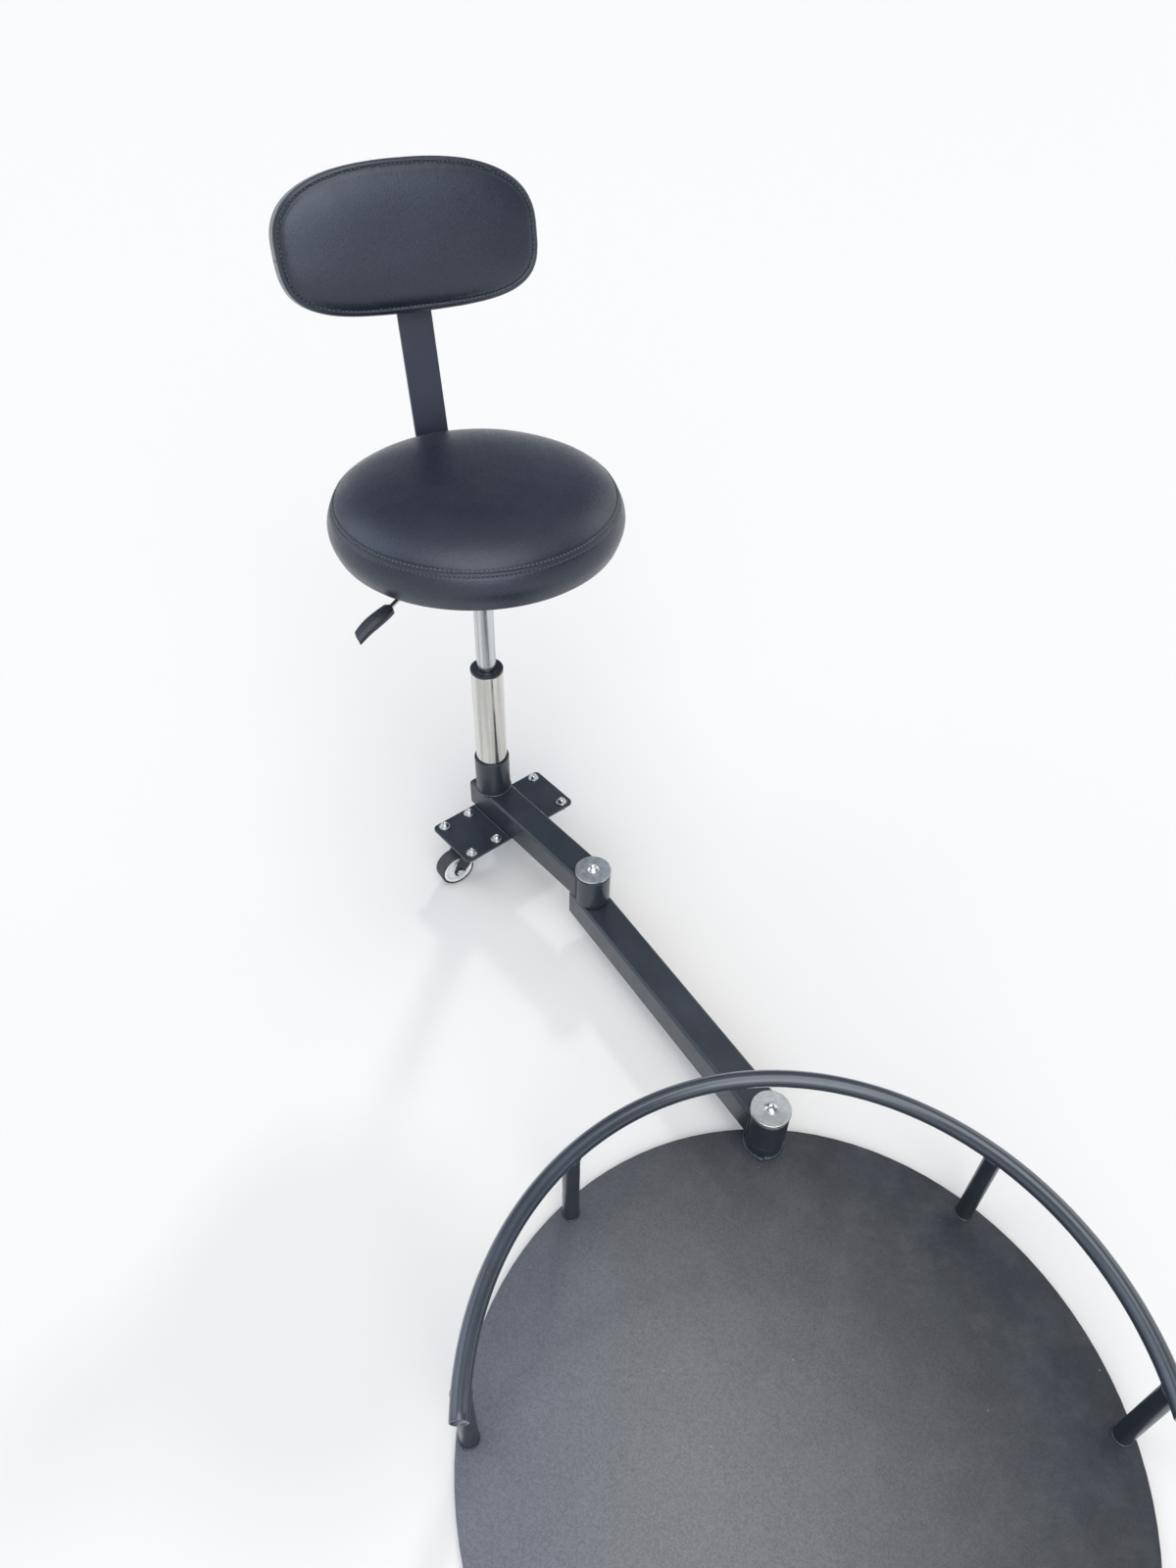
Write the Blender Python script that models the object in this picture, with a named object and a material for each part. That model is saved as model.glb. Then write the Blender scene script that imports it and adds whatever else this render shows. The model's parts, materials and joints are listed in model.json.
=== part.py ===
"""Tethered swivel stool.

A round steel floor plate carries a half-circle foot rail and a vertical pivot. A two-link swing arm of square
tube reaches from that pivot to a gas-lift column, which stands on the arm's end above a pair of swivel casters.
The column carries a round padded seat with a flat-bar backrest and a release lever.
Lengths are metres, angles are degrees, +Z is up, and the origin is the plate's centre on the floor.
"""

import math

import bmesh
import bpy
from mathutils import Matrix

# Clearance between pieces that touch or run on each other
GAP = 0.0003

# Floor plate and foot rail
PLATE_DIAMETER = 0.700
PLATE_THICKNESS = 0.008
PLATE_CHAMFER = 0.0015
RAIL_TUBE_DIAMETER = 0.020
RAIL_HEIGHT = 0.147
RAIL_INSET = 0.014
RAIL_TAIL = 0.026
POST_DIAMETER = 0.020
POST_ANGLES = (-89.0, -44.0, 44.0, 89.0)
RAIL_TURN = 1.0
POST_SADDLE_DEPTH = 0.0065

# Pivot hardware, the same at the floor plate and at the elbow
PIVOT_INSET = 0.017
BOSS_DIAMETER = 0.046
BOSS_HEIGHT = 0.0185
WELD_LEG = 0.003
PIN_DIAMETER = 0.020
PIN_CHAMFER = 0.001
BUSH_WALL = 0.003
BUSH_LENGTH = 0.018
BUSH_FLANGE_WIDTH = 0.005
BUSH_FLANGE_THICKNESS = 0.0015
HUB_DIAMETER = 0.049
HUB_OVERSTAND = 0.0025
CAP_DIAMETER = 0.050
CAP_THICKNESS = 0.004
CAP_CHAMFER = 0.0006
CAP_SCREW_DIAMETER = 0.010
CAP_SCREW_REACH = 0.020
CAP_SCREW_HEAD_DIAMETER = 0.018
CAP_SCREW_HEAD_HEIGHT = 0.005
HEX_KEY_WIDTH = 0.006
HEX_KEY_DEPTH = 0.003
TAPPED_HOLE_SPARE = 0.002

# Swing arm
ARM_TUBE_SIDE = 0.045
ARM_TUBE_WALL = 0.0025
ARM_TUBE_CORNER = 0.004
ARM_END_PLATE_THICKNESS = 0.003
LOWER_ARM_LENGTH = 0.398
LOWER_ARM_TAIL = 0.0225
LOWER_ARM_ANGLE = 122.8
UPPER_ARM_LENGTH = 0.2318
UPPER_ARM_TAIL = 0.026
ELBOW_ANGLE = 7.9

# Caster plate and its bolts
CASTER_PLATE_DEPTH = 0.092
CASTER_PLATE_WIDTH = 0.200
CASTER_PLATE_THICKNESS = 0.004
CASTER_PLATE_CORNER = 0.008
CASTER_PLATE_SETBACK = 0.023
CASTER_SPACING = 0.125
LEFT_CASTER_HEADING = 84.0
RIGHT_CASTER_HEADING = 40.0
BOLT_SPACING_ALONG = 0.070
BOLT_SPACING_ACROSS = 0.045
BOLT_DIAMETER = 0.008
BOLT_HEAD_DIAMETER = 0.0135
BOLT_HEAD_HEIGHT = 0.0065
BOLT_SOCKET_DIAMETER = 0.006
BOLT_SOCKET_DEPTH = 0.0025
WASHER_DIAMETER = 0.0172
WASHER_THICKNESS = 0.0020
NUT_DIAMETER = 0.013
NUT_HEIGHT = 0.006

# Casters
FLANGE_DEPTH = 0.088
FLANGE_WIDTH = 0.062
FLANGE_THICKNESS = 0.0025
FLANGE_CORNER = 0.006
RACE_DIAMETER = 0.034
RACE_HEIGHT = 0.004
KINGPIN_DIAMETER = 0.010
RIVET_DIAMETER = 0.016
RIVET_HEIGHT = 0.0028
FORK_CROWN_DIAMETER = 0.050
FORK_PLATE_THICKNESS = 0.0025
FORK_EYE_DIAMETER = 0.017
FORK_EYE_START = 215.0
FORK_EYE_STOP = 395.0
CASTER_TRAIL = 0.0305
WHEEL_DIAMETER = 0.054
TYRE_WIDTH = 0.023
TYRE_DEPTH = 0.0030
TYRE_SHOULDER = 0.0018
WHEEL_SIDE_CLEARANCE = 0.0015
WHEEL_RIM_DEPTH = 0.004
WHEEL_RIM_INSET = 0.0008
WHEEL_BOSS_DIAMETER = 0.016
WHEEL_WEB_THICKNESS = 0.007
AXLE_DIAMETER = 0.006
AXLE_HEAD_DIAMETER = 0.011
AXLE_HEAD_HEIGHT = 0.003

# Gas-lift column
SOCKET_HEIGHT = 0.061
SOCKET_WALL = 0.0027
CLIP_ROOM = 0.007
COLUMN_TUBE_DIAMETER = 0.045
COLUMN_TUBE_WALL = 0.002
COLUMN_TUBE_LENGTH = 0.2100
COLUMN_TAPER = 0.0007
COLUMN_FLOOR_THICKNESS = 0.003
GUIDE_COLLAR_DIAMETER = 0.046
GUIDE_COLLAR_HEIGHT = 0.005
GUIDE_COLLAR_ROUND = 0.0015
GUIDE_SLEEVE_LENGTH = 0.062
CYLINDER_DIAMETER = 0.0265
CYLINDER_WALL = 0.0025
CYLINDER_TAPER = 0.0008
CYLINDER_NECK = 0.012
CYLINDER_HEAD = 0.020
CYLINDER_RISE = 0.003
ROD_DIAMETER = 0.010
ROD_SPIGOT_DIAMETER = 0.008
ROD_END = 0.005
CLIP_GROOVE_DEPTH = 0.001
CLIP_DIAMETER = 0.018
CLIP_THICKNESS = 0.0012
CLIP_SLOT = 0.005
BEARING_DIAMETER = 0.034
BEARING_HEIGHT = 0.006
BUMPER_DIAMETER = 0.028
BUMPER_HEIGHT = 0.012
PISTON_HEIGHT = 0.016
PISTON_SPIGOT_DIAMETER = 0.007
PISTON_REST_CLEARANCE = 0.004
LIFT_STROKE = 0.120
LIFT_STOP_CLEARANCE = 0.002
VALVE_DIAMETER = 0.007
VALVE_FLANGE_DIAMETER = 0.012
VALVE_FLANGE_HEIGHT = 0.003
VALVE_CHAMFER = 0.001
VALVE_PLAY = 0.0005

# Seat
SEAT_HEIGHT = 0.630
SEAT_DIAMETER = 0.365
CUSHION_THICKNESS = 0.0715
CUSHION_SEAM_HEIGHT = 0.047
CUSHION_SEAM_INSET = 0.010
CUSHION_SEAM_DEPTH = 0.002
CUSHION_FOOT_INSET = 0.008
CUSHION_SKIRT = 0.013
CUSHION_CROWN_FULLNESS = 0.5
CUSHION_CROWN_FLATNESS = 0.8
SEAT_BOARD_THICKNESS = 0.012
SEAT_BOARD_DROP = 0.0015
SEAT_BACK_ANGLE = 112.4

# Seat bracket
BRACKET_WIDTH = 0.160
BRACKET_CORNER = 0.014
BRACKET_PLATE_THICKNESS = 0.003
CHANNEL_WIDTH = 0.042
CHANNEL_HEIGHT = 0.024
CHANNEL_LENGTH = 0.110
CHANNEL_WALL = 0.0025
CONE_TUBE_WALL = 0.004
CONE_TUBE_DROP = 0.030

# Release lever
LEVER_ANGLE = 121.1
LEVER_ROD_DIAMETER = 0.006
LEVER_PIVOT_OFFSET = 0.030
LEVER_PIVOT_HEIGHT = 0.0125
LEVER_TIP_OVERLAP = 0.003
LEVER_BEND_RADIUS = 0.105
LEVER_DROOP = 15.5
LEVER_BARREL_DIAMETER = 0.011
LEVER_BARREL_CLEARANCE = 0.001
LEVER_PIN_DIAMETER = 0.005
LEVER_PIN_OVERHANG = 0.002
PADDLE_START = 0.158
PADDLE_LENGTH = 0.0580
PADDLE_NECK_WIDTH = 0.0145
PADDLE_NECK_ROUND = 0.0025
PADDLE_BELLY_REACH = 0.0137
PADDLE_BELLY_PLACE = 0.038
PADDLE_WAIST_DEPTH = 0.0009
PADDLE_NECK_THICKNESS = 0.011
PADDLE_END_THICKNESS = 0.007
PADDLE_RIDGE_HEIGHT = 0.002
PADDLE_EDGE_ROUND = 0.0015
PADDLE_END_SKEW = 0.48
PADDLE_END_RADIUS = 0.033
PADDLE_SOCKET_DEPTH = 0.018

# Backrest
BACK_BAR_WIDTH = 0.044
BACK_BAR_THICKNESS = 0.006
BACK_BAR_BEND_RADIUS = 0.020
BACK_BAR_LEAN = 15.5
BACK_BAR_SEAT_CLEARANCE = 0.007
BACK_BAR_CHANNEL_CLEARANCE = 0.010
BACK_BAR_TOP_REACH = 0.045
BACK_PAD_RISE = 0.1943
BACK_PAD_WIDTH = 0.3245
BACK_PAD_HEIGHT = 0.1673
BACK_PAD_THICKNESS = 0.050
BACK_PAD_TOP_SQUARENESS = 2.46
BACK_PAD_BOTTOM_SQUARENESS = 3.5
BACK_PAD_CROWN = 0.010
BACK_PAD_SEAM_INSET = 0.008
BACK_PAD_SEAM_DEPTH = 0.0025
BACK_PAD_ROUND = 0.010

# Facets
FINE = 96
ROUND = 28
MEDIUM = 24
SMALL = 16
TINY = 12
CORNER_STEPS = 4
RAIL_STEPS = 48
BOLT_DOME_STEPS = 2
PADDLE_STEPS = 9
CUSHION_SIDE_STEPS = 6
CUSHION_CROWN_STEPS = 7
PAD_ROUND_STEPS = 3
PAD_CROWN_STEPS = 6
SMOOTH_ANGLE = 32.0
MERGE_DISTANCE = 0.00001

# Heights that follow from the stack of pieces
boss_top = PLATE_THICKNESS + GAP + BOSS_HEIGHT
bush_seat = GAP + BUSH_FLANGE_THICKNESS + GAP
hub_height = ARM_TUBE_SIDE + 2 * HUB_OVERSTAND
lower_hub_bottom = boss_top + bush_seat
lower_tube_bottom = lower_hub_bottom + HUB_OVERSTAND
lower_tube_top = lower_tube_bottom + ARM_TUBE_SIDE
upper_hub_bottom = lower_tube_top + bush_seat
upper_tube_bottom = upper_hub_bottom + HUB_OVERSTAND
upper_tube_top = upper_tube_bottom + ARM_TUBE_SIDE
caster_plate_top = upper_tube_bottom - GAP
caster_plate_bottom = caster_plate_top - CASTER_PLATE_THICKNESS
flange_top = caster_plate_bottom - GAP
flange_bottom = flange_top - FLANGE_THICKNESS
race_bottom = flange_bottom - RACE_HEIGHT
crown_top = race_bottom - GAP
crown_bottom = crown_top - FORK_PLATE_THICKNESS
socket_bottom = upper_tube_top + GAP
socket_top = socket_bottom + SOCKET_HEIGHT
column_bottom = socket_bottom + CLIP_ROOM
column_floor = column_bottom + COLUMN_FLOOR_THICKNESS
column_top = column_bottom + COLUMN_TUBE_LENGTH
bearing_bottom = column_floor + GAP
bearing_top = bearing_bottom + BEARING_HEIGHT
rod_shoulder = bearing_top + GAP
bumper_bottom = rod_shoulder
bumper_top = bumper_bottom + BUMPER_HEIGHT
cylinder_bottom = bumper_top + LIFT_STOP_CLEARANCE + LIFT_STROKE
piston_bottom = cylinder_bottom + CYLINDER_NECK + PISTON_REST_CLEARANCE
piston_top = piston_bottom + PISTON_HEIGHT
cushion_bottom = SEAT_HEIGHT - CUSHION_THICKNESS
board_bottom = cushion_bottom - SEAT_BOARD_DROP
board_top = board_bottom + SEAT_BOARD_THICKNESS
bracket_top = board_bottom - GAP
bracket_bottom = bracket_top - BRACKET_PLATE_THICKNESS
channel_bottom = bracket_bottom - CHANNEL_HEIGHT
web_top = channel_bottom + CHANNEL_WALL
cone_bottom = channel_bottom - CONE_TUBE_DROP
cylinder_top = web_top + CYLINDER_RISE
cavity_top = cylinder_top - CYLINDER_HEAD
lever_height = web_top + LEVER_PIVOT_HEIGHT
valve_top = lever_height - LEVER_ROD_DIAMETER / 2 - VALVE_PLAY

# Radii and places that follow from the pieces they meet
plate_radius = PLATE_DIAMETER / 2
rail_radius = plate_radius - RAIL_INSET
rail_middle = 90 + RAIL_TURN
pivot_radius = plate_radius - PIVOT_INSET
pin_radius = PIN_DIAMETER / 2
bush_bore = pin_radius + GAP
hub_bore = bush_bore + BUSH_WALL + GAP
hub_radius = HUB_DIAMETER / 2
tapped_radius = CAP_SCREW_DIAMETER / 2 + GAP
caster_plate_place = UPPER_ARM_LENGTH - CASTER_PLATE_SETBACK
fork_inside = TYRE_WIDTH / 2 + WHEEL_SIDE_CLEARANCE
fork_outside = fork_inside + FORK_PLATE_THICKNESS
axle_height = WHEEL_DIAMETER / 2
axle_radius = AXLE_DIAMETER / 2
column_radius = COLUMN_TUBE_DIAMETER / 2
column_bore = column_radius - COLUMN_TUBE_WALL
cylinder_radius = CYLINDER_DIAMETER / 2
cylinder_bore = cylinder_radius - CYLINDER_WALL
rod_radius = ROD_DIAMETER / 2
spigot_radius = ROD_SPIGOT_DIAMETER / 2
piston_spigot_radius = PISTON_SPIGOT_DIAMETER / 2
seat_radius = SEAT_DIAMETER / 2
board_radius = seat_radius - CUSHION_SKIRT
lever_rod_radius = LEVER_ROD_DIAMETER / 2
lever_pin_radius = LEVER_PIN_DIAMETER / 2


def clear_scene():
    """Empty the scene before building."""
    for leftover in list(bpy.data.objects):
        bpy.data.objects.remove(leftover)


def finish(name, colour, roughness, metallic):
    """One surface finish of the stool."""
    material = bpy.data.materials.new(name)
    material.use_nodes = True
    shader = material.node_tree.nodes["Principled BSDF"]
    shader.inputs["Base Color"].default_value = (*colour, 1.0)
    shader.inputs["Roughness"].default_value = roughness
    shader.inputs["Metallic"].default_value = metallic
    return material


def axis_empty(name, parent, location, turn=0.0):
    """An empty on a joint's axis; the pieces that move together hang on it."""
    empty = bpy.data.objects.new(name, None)
    bpy.context.scene.collection.objects.link(empty)
    empty.parent = parent
    empty.location = location
    empty.rotation_euler = (0, 0, math.radians(turn))
    return empty


def add_piece(name, form, material, parent):
    """Turn a finished form into a named object."""
    bmesh.ops.remove_doubles(form, verts=form.verts, dist=MERGE_DISTANCE)
    bmesh.ops.recalc_face_normals(form, faces=form.faces)
    mesh = bpy.data.meshes.new(name)
    form.to_mesh(mesh)
    form.free()
    mesh.shade_smooth()
    mesh.set_sharp_from_angle(angle=math.radians(SMOOTH_ANGLE))
    if material:
        mesh.materials.append(material)
    piece = bpy.data.objects.new(name, mesh)
    bpy.context.scene.collection.objects.link(piece)
    piece.parent = parent
    return piece


def shape_with(piece, operation, name, form):
    """Cut a form out of a piece, or join it on, with a hidden tool."""
    tool = add_piece(name, form, None, piece)
    tool.hide_render = True
    tool.display_type = "WIRE"
    modifier = piece.modifiers.new(name, "BOOLEAN")
    modifier.operation = operation
    modifier.solver = "EXACT"
    modifier.object = tool


def moved(form, matrix):
    """Place a form before it becomes a piece."""
    bmesh.ops.transform(form, matrix=matrix, verts=form.verts)
    return form


def combined(forms):
    """Several separate forms in one, such as a row of holes."""
    whole = bmesh.new()
    for form in forms:
        part = bpy.data.meshes.new("part")
        form.to_mesh(part)
        form.free()
        whole.from_mesh(part)
        bpy.data.meshes.remove(part)
    return whole


def turned(profile, segments, ring=False):
    """Spin (radius, height) points about Z; a ring's profile closes on itself clear of the axis."""
    form = bmesh.new()
    points = [form.verts.new((radius, 0, height)) for radius, height in profile]
    edges = [form.edges.new(pair) for pair in zip(points, points[1:])]
    if ring:
        edges.append(form.edges.new((points[-1], points[0])))
    bmesh.ops.spin(form, geom=points + edges, cent=(0, 0, 0), axis=(0, 0, 1), angle=math.tau,
                   steps=segments, use_merge=True)
    bmesh.ops.remove_doubles(form, verts=form.verts, dist=MERGE_DISTANCE)
    return form


def cylinder(radius, low, high, segments):
    """A plain round bar along Z."""
    return turned([(0, low), (radius, low), (radius, high), (0, high)], segments)


def sleeve(inner, outer, low, high, segments):
    """A plain round tube along Z."""
    return turned([(inner, low), (outer, low), (outer, high), (inner, high)], segments, ring=True)


def prism(outline, low, high):
    """Extrude a flat outline of (x, y) points along Z."""
    form = bmesh.new()
    face = form.faces.new([form.verts.new((x, y, low)) for x, y in outline])
    grown = bmesh.ops.extrude_face_region(form, geom=[face], use_keep_orig=True)
    tops = [item for item in grown["geom"] if isinstance(item, bmesh.types.BMVert)]
    bmesh.ops.translate(form, verts=tops, vec=(0, 0, high - low))
    return form


def hollow_prism(outer, inner, low, high):
    """Extrude the wall between two outlines with equal point counts."""
    form = bmesh.new()
    outside = [form.verts.new((x, y, low)) for x, y in outer]
    inside = [form.verts.new((x, y, low)) for x, y in inner]
    count = len(outside)
    wall = []
    for index in range(count):
        after = (index + 1) % count
        wall.append(form.faces.new((outside[index], outside[after], inside[after], inside[index])))
    grown = bmesh.ops.extrude_face_region(form, geom=wall, use_keep_orig=True)
    tops = [item for item in grown["geom"] if isinstance(item, bmesh.types.BMVert)]
    bmesh.ops.translate(form, verts=tops, vec=(0, 0, high - low))
    return form


def lofted(rings):
    """Skin a row of point rings and close both ends."""
    form = bmesh.new()
    loops = [[form.verts.new(point) for point in ring] for ring in rings]
    for near, far in zip(loops, loops[1:]):
        for index in range(len(near)):
            after = (index + 1) % len(near)
            form.faces.new((near[index], near[after], far[after], far[index]))
    form.faces.new(loops[0])
    form.faces.new(loops[-1])
    return form


def arc(centre, radius, start, stop, steps):
    """Points along a circular arc, angles in degrees."""
    points = []
    for step in range(steps + 1):
        angle = math.radians(start + (stop - start) * step / steps)
        points.append((centre[0] + radius * math.cos(angle), centre[1] + radius * math.sin(angle)))
    return points


def rounded_rectangle(depth, width, corner):
    """Outline of a rectangle with round corners, centred on the origin."""
    points = []
    for quarter, (x_side, y_side) in enumerate(((1, 1), (-1, 1), (-1, -1), (1, -1))):
        centre = (x_side * (depth / 2 - corner), y_side * (width / 2 - corner))
        points += arc(centre, corner, 90 * quarter, 90 * quarter + 90, CORNER_STEPS)
    return points


def oval(width, height, squareness, count):
    """A rounded oval between an ellipse and a rectangle."""
    points = []
    for step in range(count):
        angle = math.tau * step / count
        across = math.copysign(abs(math.cos(angle)) ** (2 / squareness), math.cos(angle))
        up = math.copysign(abs(math.sin(angle)) ** (2 / squareness), math.sin(angle))
        points.append((across * width / 2, up * height / 2))
    return points


def swept(path, outline):
    """Carry an outline of (side, normal) points along a path of (x, z) points in the XZ plane."""
    rings = []
    for index, (x, z) in enumerate(path):
        before = path[max(index - 1, 0)]
        after = path[min(index + 1, len(path) - 1)]
        slope = math.atan2(after[1] - before[1], after[0] - before[0])
        rings.append([(x - normal * math.sin(slope), side, z + normal * math.cos(slope))
                      for side, normal in outline])
    return lofted(rings)


def circle(radius, segments):
    """Outline of a circle."""
    return arc((0, 0), radius, 0, 360 - 360 / segments, segments - 1)


def dome(radius, low, height, steps):
    """Profile of a button head from its rim to its crown."""
    return [(radius * math.cos(math.pi / 2 * step / steps), low + height * math.sin(math.pi / 2 * step / steps))
            for step in range(steps + 1)]


def rail_form(tube_radius):
    """The bent tube of the foot rail, from beyond its first post to beyond its last."""
    tail = math.degrees(RAIL_TAIL / rail_radius)
    start = rail_middle + POST_ANGLES[0] - tail
    sweep = POST_ANGLES[-1] - POST_ANGLES[0] + 2 * tail
    form = bmesh.new()
    ring = [form.verts.new((rail_radius + x, 0, RAIL_HEIGHT + z)) for x, z in circle(tube_radius, TINY)]
    edges = [form.edges.new((ring[index - 1], ring[index])) for index in range(len(ring))]
    moved(form, Matrix.Rotation(math.radians(start), 4, "Z"))
    bmesh.ops.spin(form, geom=ring + edges, cent=(0, 0, 0), axis=(0, 0, 1),
                   angle=math.radians(sweep), steps=RAIL_STEPS)
    bmesh.ops.holes_fill(form, edges=[edge for edge in form.edges if edge.is_boundary])
    return form


def build_base(finishes):
    """Floor plate, foot rail on its posts, and the welded pivot post."""
    black = finishes["powder_coat"]
    plate = [(0, 0), (plate_radius - PLATE_CHAMFER, 0), (plate_radius, PLATE_CHAMFER),
             (plate_radius, PLATE_THICKNESS - PLATE_CHAMFER), (plate_radius - PLATE_CHAMFER, PLATE_THICKNESS),
             (0, PLATE_THICKNESS)]
    add_piece("base_plate", turned(plate, FINE), finishes["plate_coat"], None)
    add_piece("foot_rail", rail_form(RAIL_TUBE_DIAMETER / 2), black, None)
    post_top = RAIL_HEIGHT - RAIL_TUBE_DIAMETER / 2 + POST_SADDLE_DEPTH
    for number, angle in enumerate(POST_ANGLES, start=1):
        aim = Matrix.Rotation(math.radians(rail_middle + angle), 4, "Z")
        place = aim @ Matrix.Translation((rail_radius, 0, 0))
        form = cylinder(POST_DIAMETER / 2, PLATE_THICKNESS + GAP, post_top, SMALL)
        post = add_piece(f"rail_post_{number}", moved(form, place), black, None)
        shape_with(post, "DIFFERENCE", f"rail_saddle_{number}", rail_form(RAIL_TUBE_DIAMETER / 2 + GAP))
    pivot = axis_empty("base_pivot", None, (0, pivot_radius, 0))
    pin_top = lower_hub_bottom + hub_height + bush_seat
    boss_radius = BOSS_DIAMETER / 2
    boss_bottom = PLATE_THICKNESS + GAP
    foot = [(0, boss_bottom), (boss_radius + WELD_LEG, boss_bottom), (boss_radius, boss_bottom + WELD_LEG),
            (boss_radius, boss_top)]
    add_piece("base_post", turned(foot + pin_end(boss_top, pin_top), ROUND), black, pivot)
    build_cap("base", pin_top, pivot, finishes)


def pin_end(bottom, top):
    """Profile of a pivot pin from its shoulder up, with the tapped hole for the cap screw."""
    hole_bottom = top - CAP_SCREW_REACH - TAPPED_HOLE_SPARE
    return [(pin_radius, bottom), (pin_radius, top - PIN_CHAMFER), (pin_radius - PIN_CHAMFER, top),
            (tapped_radius, top), (tapped_radius, hole_bottom), (0, hole_bottom)]


def build_cap(prefix, pin_top, parent, finishes):
    """The zinc-plated cap on a pivot pin and the button-head screw that holds it."""
    low = pin_top + GAP
    high = low + CAP_THICKNESS
    edge = CAP_DIAMETER / 2
    cap = [(tapped_radius, low), (edge - CAP_CHAMFER, low), (edge, low + CAP_CHAMFER),
           (edge, high - CAP_CHAMFER), (edge - CAP_CHAMFER, high), (tapped_radius, high)]
    add_piece(f"{prefix}_cap", turned(cap, ROUND, ring=True), finishes["zinc"], parent)
    seat = high + GAP
    shank = CAP_SCREW_DIAMETER / 2
    screw = [(0, pin_top - CAP_SCREW_REACH), (shank, pin_top - CAP_SCREW_REACH), (shank, seat)]
    screw += dome(CAP_SCREW_HEAD_DIAMETER / 2, seat, CAP_SCREW_HEAD_HEIGHT, CORNER_STEPS)
    piece = add_piece(f"{prefix}_cap_screw", turned(screw, SMALL), finishes["bright_steel"], parent)
    key_radius = HEX_KEY_WIDTH / math.sqrt(3)
    head_top = seat + CAP_SCREW_HEAD_HEIGHT
    key = prism(circle(key_radius, 6), head_top - HEX_KEY_DEPTH, head_top + HEX_KEY_DEPTH)
    shape_with(piece, "DIFFERENCE", f"{prefix}_hex_key", key)


def build_hub(prefix, bottom, parent, finishes):
    """A swing arm's hub tube and the two flanged bushes that run on the pin."""
    top = bottom + hub_height
    hub = sleeve(hub_bore, hub_radius, bottom, top, ROUND)
    add_piece(f"{prefix}_hub", hub, finishes["powder_coat"], parent)
    bush_radius = hub_bore - GAP
    flange_radius = hub_bore + BUSH_FLANGE_WIDTH
    for place, face, way in (("bottom", bottom, 1), ("top", top, -1)):
        flange = face - way * GAP
        outer = flange - way * BUSH_FLANGE_THICKNESS
        end = face + way * BUSH_LENGTH
        bush = [(bush_bore, outer), (flange_radius, outer), (flange_radius, flange), (bush_radius, flange),
                (bush_radius, end), (bush_bore, end)]
        add_piece(f"{prefix}_bush_{place}", turned(bush, MEDIUM, ring=True), finishes["nylon"], parent)


def build_arm_tube(prefix, length, bottom, parent, finishes):
    """Square tube from a hub to its closed end, with the hub's round cut in its near end."""
    black = finishes["powder_coat"]
    outer = rounded_rectangle(ARM_TUBE_SIDE, ARM_TUBE_SIDE, ARM_TUBE_CORNER)
    bore = ARM_TUBE_SIDE - 2 * ARM_TUBE_WALL
    inner_corner = max(ARM_TUBE_CORNER - ARM_TUBE_WALL, ARM_TUBE_CORNER / 4)
    inner = rounded_rectangle(bore, bore, inner_corner)
    middle = bottom + ARM_TUBE_SIDE / 2
    lay = Matrix.Translation((0, 0, middle)) @ Matrix.Rotation(math.pi / 2, 4, "Y")
    tube = add_piece(f"{prefix}_tube", moved(hollow_prism(outer, inner, 0, length), lay), black, parent)
    cope = cylinder(hub_radius + GAP, bottom - HUB_OVERSTAND, bottom + ARM_TUBE_SIDE + HUB_OVERSTAND, ROUND)
    shape_with(tube, "DIFFERENCE", f"{prefix}_cope", cope)
    end = prism(outer, length + GAP, length + GAP + ARM_END_PLATE_THICKNESS)
    add_piece(f"{prefix}_end_plate", moved(end, lay), black, parent)
    return tube


def build_lower_arm(axis, finishes):
    """The arm between the floor plate's pivot and the elbow, with the elbow's pin."""
    build_hub("lower_arm", lower_hub_bottom, axis, finishes)
    tube = build_arm_tube("lower_arm", LOWER_ARM_LENGTH + LOWER_ARM_TAIL, lower_tube_bottom, axis, finishes)
    hole = cylinder(bush_bore, lower_tube_bottom - HUB_OVERSTAND, lower_tube_top + HUB_OVERSTAND, MEDIUM)
    shape_with(tube, "DIFFERENCE", "elbow_pin_hole", moved(hole, Matrix.Translation((LOWER_ARM_LENGTH, 0, 0))))
    seat = axis_empty("elbow_pivot", axis, (LOWER_ARM_LENGTH, 0, 0))
    pin_top = upper_hub_bottom + hub_height + bush_seat
    foot = [(0, lower_tube_bottom), (pin_radius - PIN_CHAMFER, lower_tube_bottom)]
    pin = turned(foot + pin_end(lower_tube_bottom + PIN_CHAMFER, pin_top), MEDIUM)
    add_piece("elbow_pin", pin, finishes["bright_steel"], seat)
    build_cap("elbow", pin_top, seat, finishes)


def bolt_places():
    """Centres of the four bolts about a caster's swivel axis."""
    return [(along * BOLT_SPACING_ALONG / 2, across * BOLT_SPACING_ACROSS / 2)
            for along in (-1, 1) for across in (-1, 1)]


def bolt_holes(centres, low, high):
    """A row of round cutters for bolts."""
    return combined([moved(cylinder(BOLT_DIAMETER / 2 + GAP, low, high, TINY), Matrix.Translation((x, y, 0)))
                     for x, y in centres])


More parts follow.
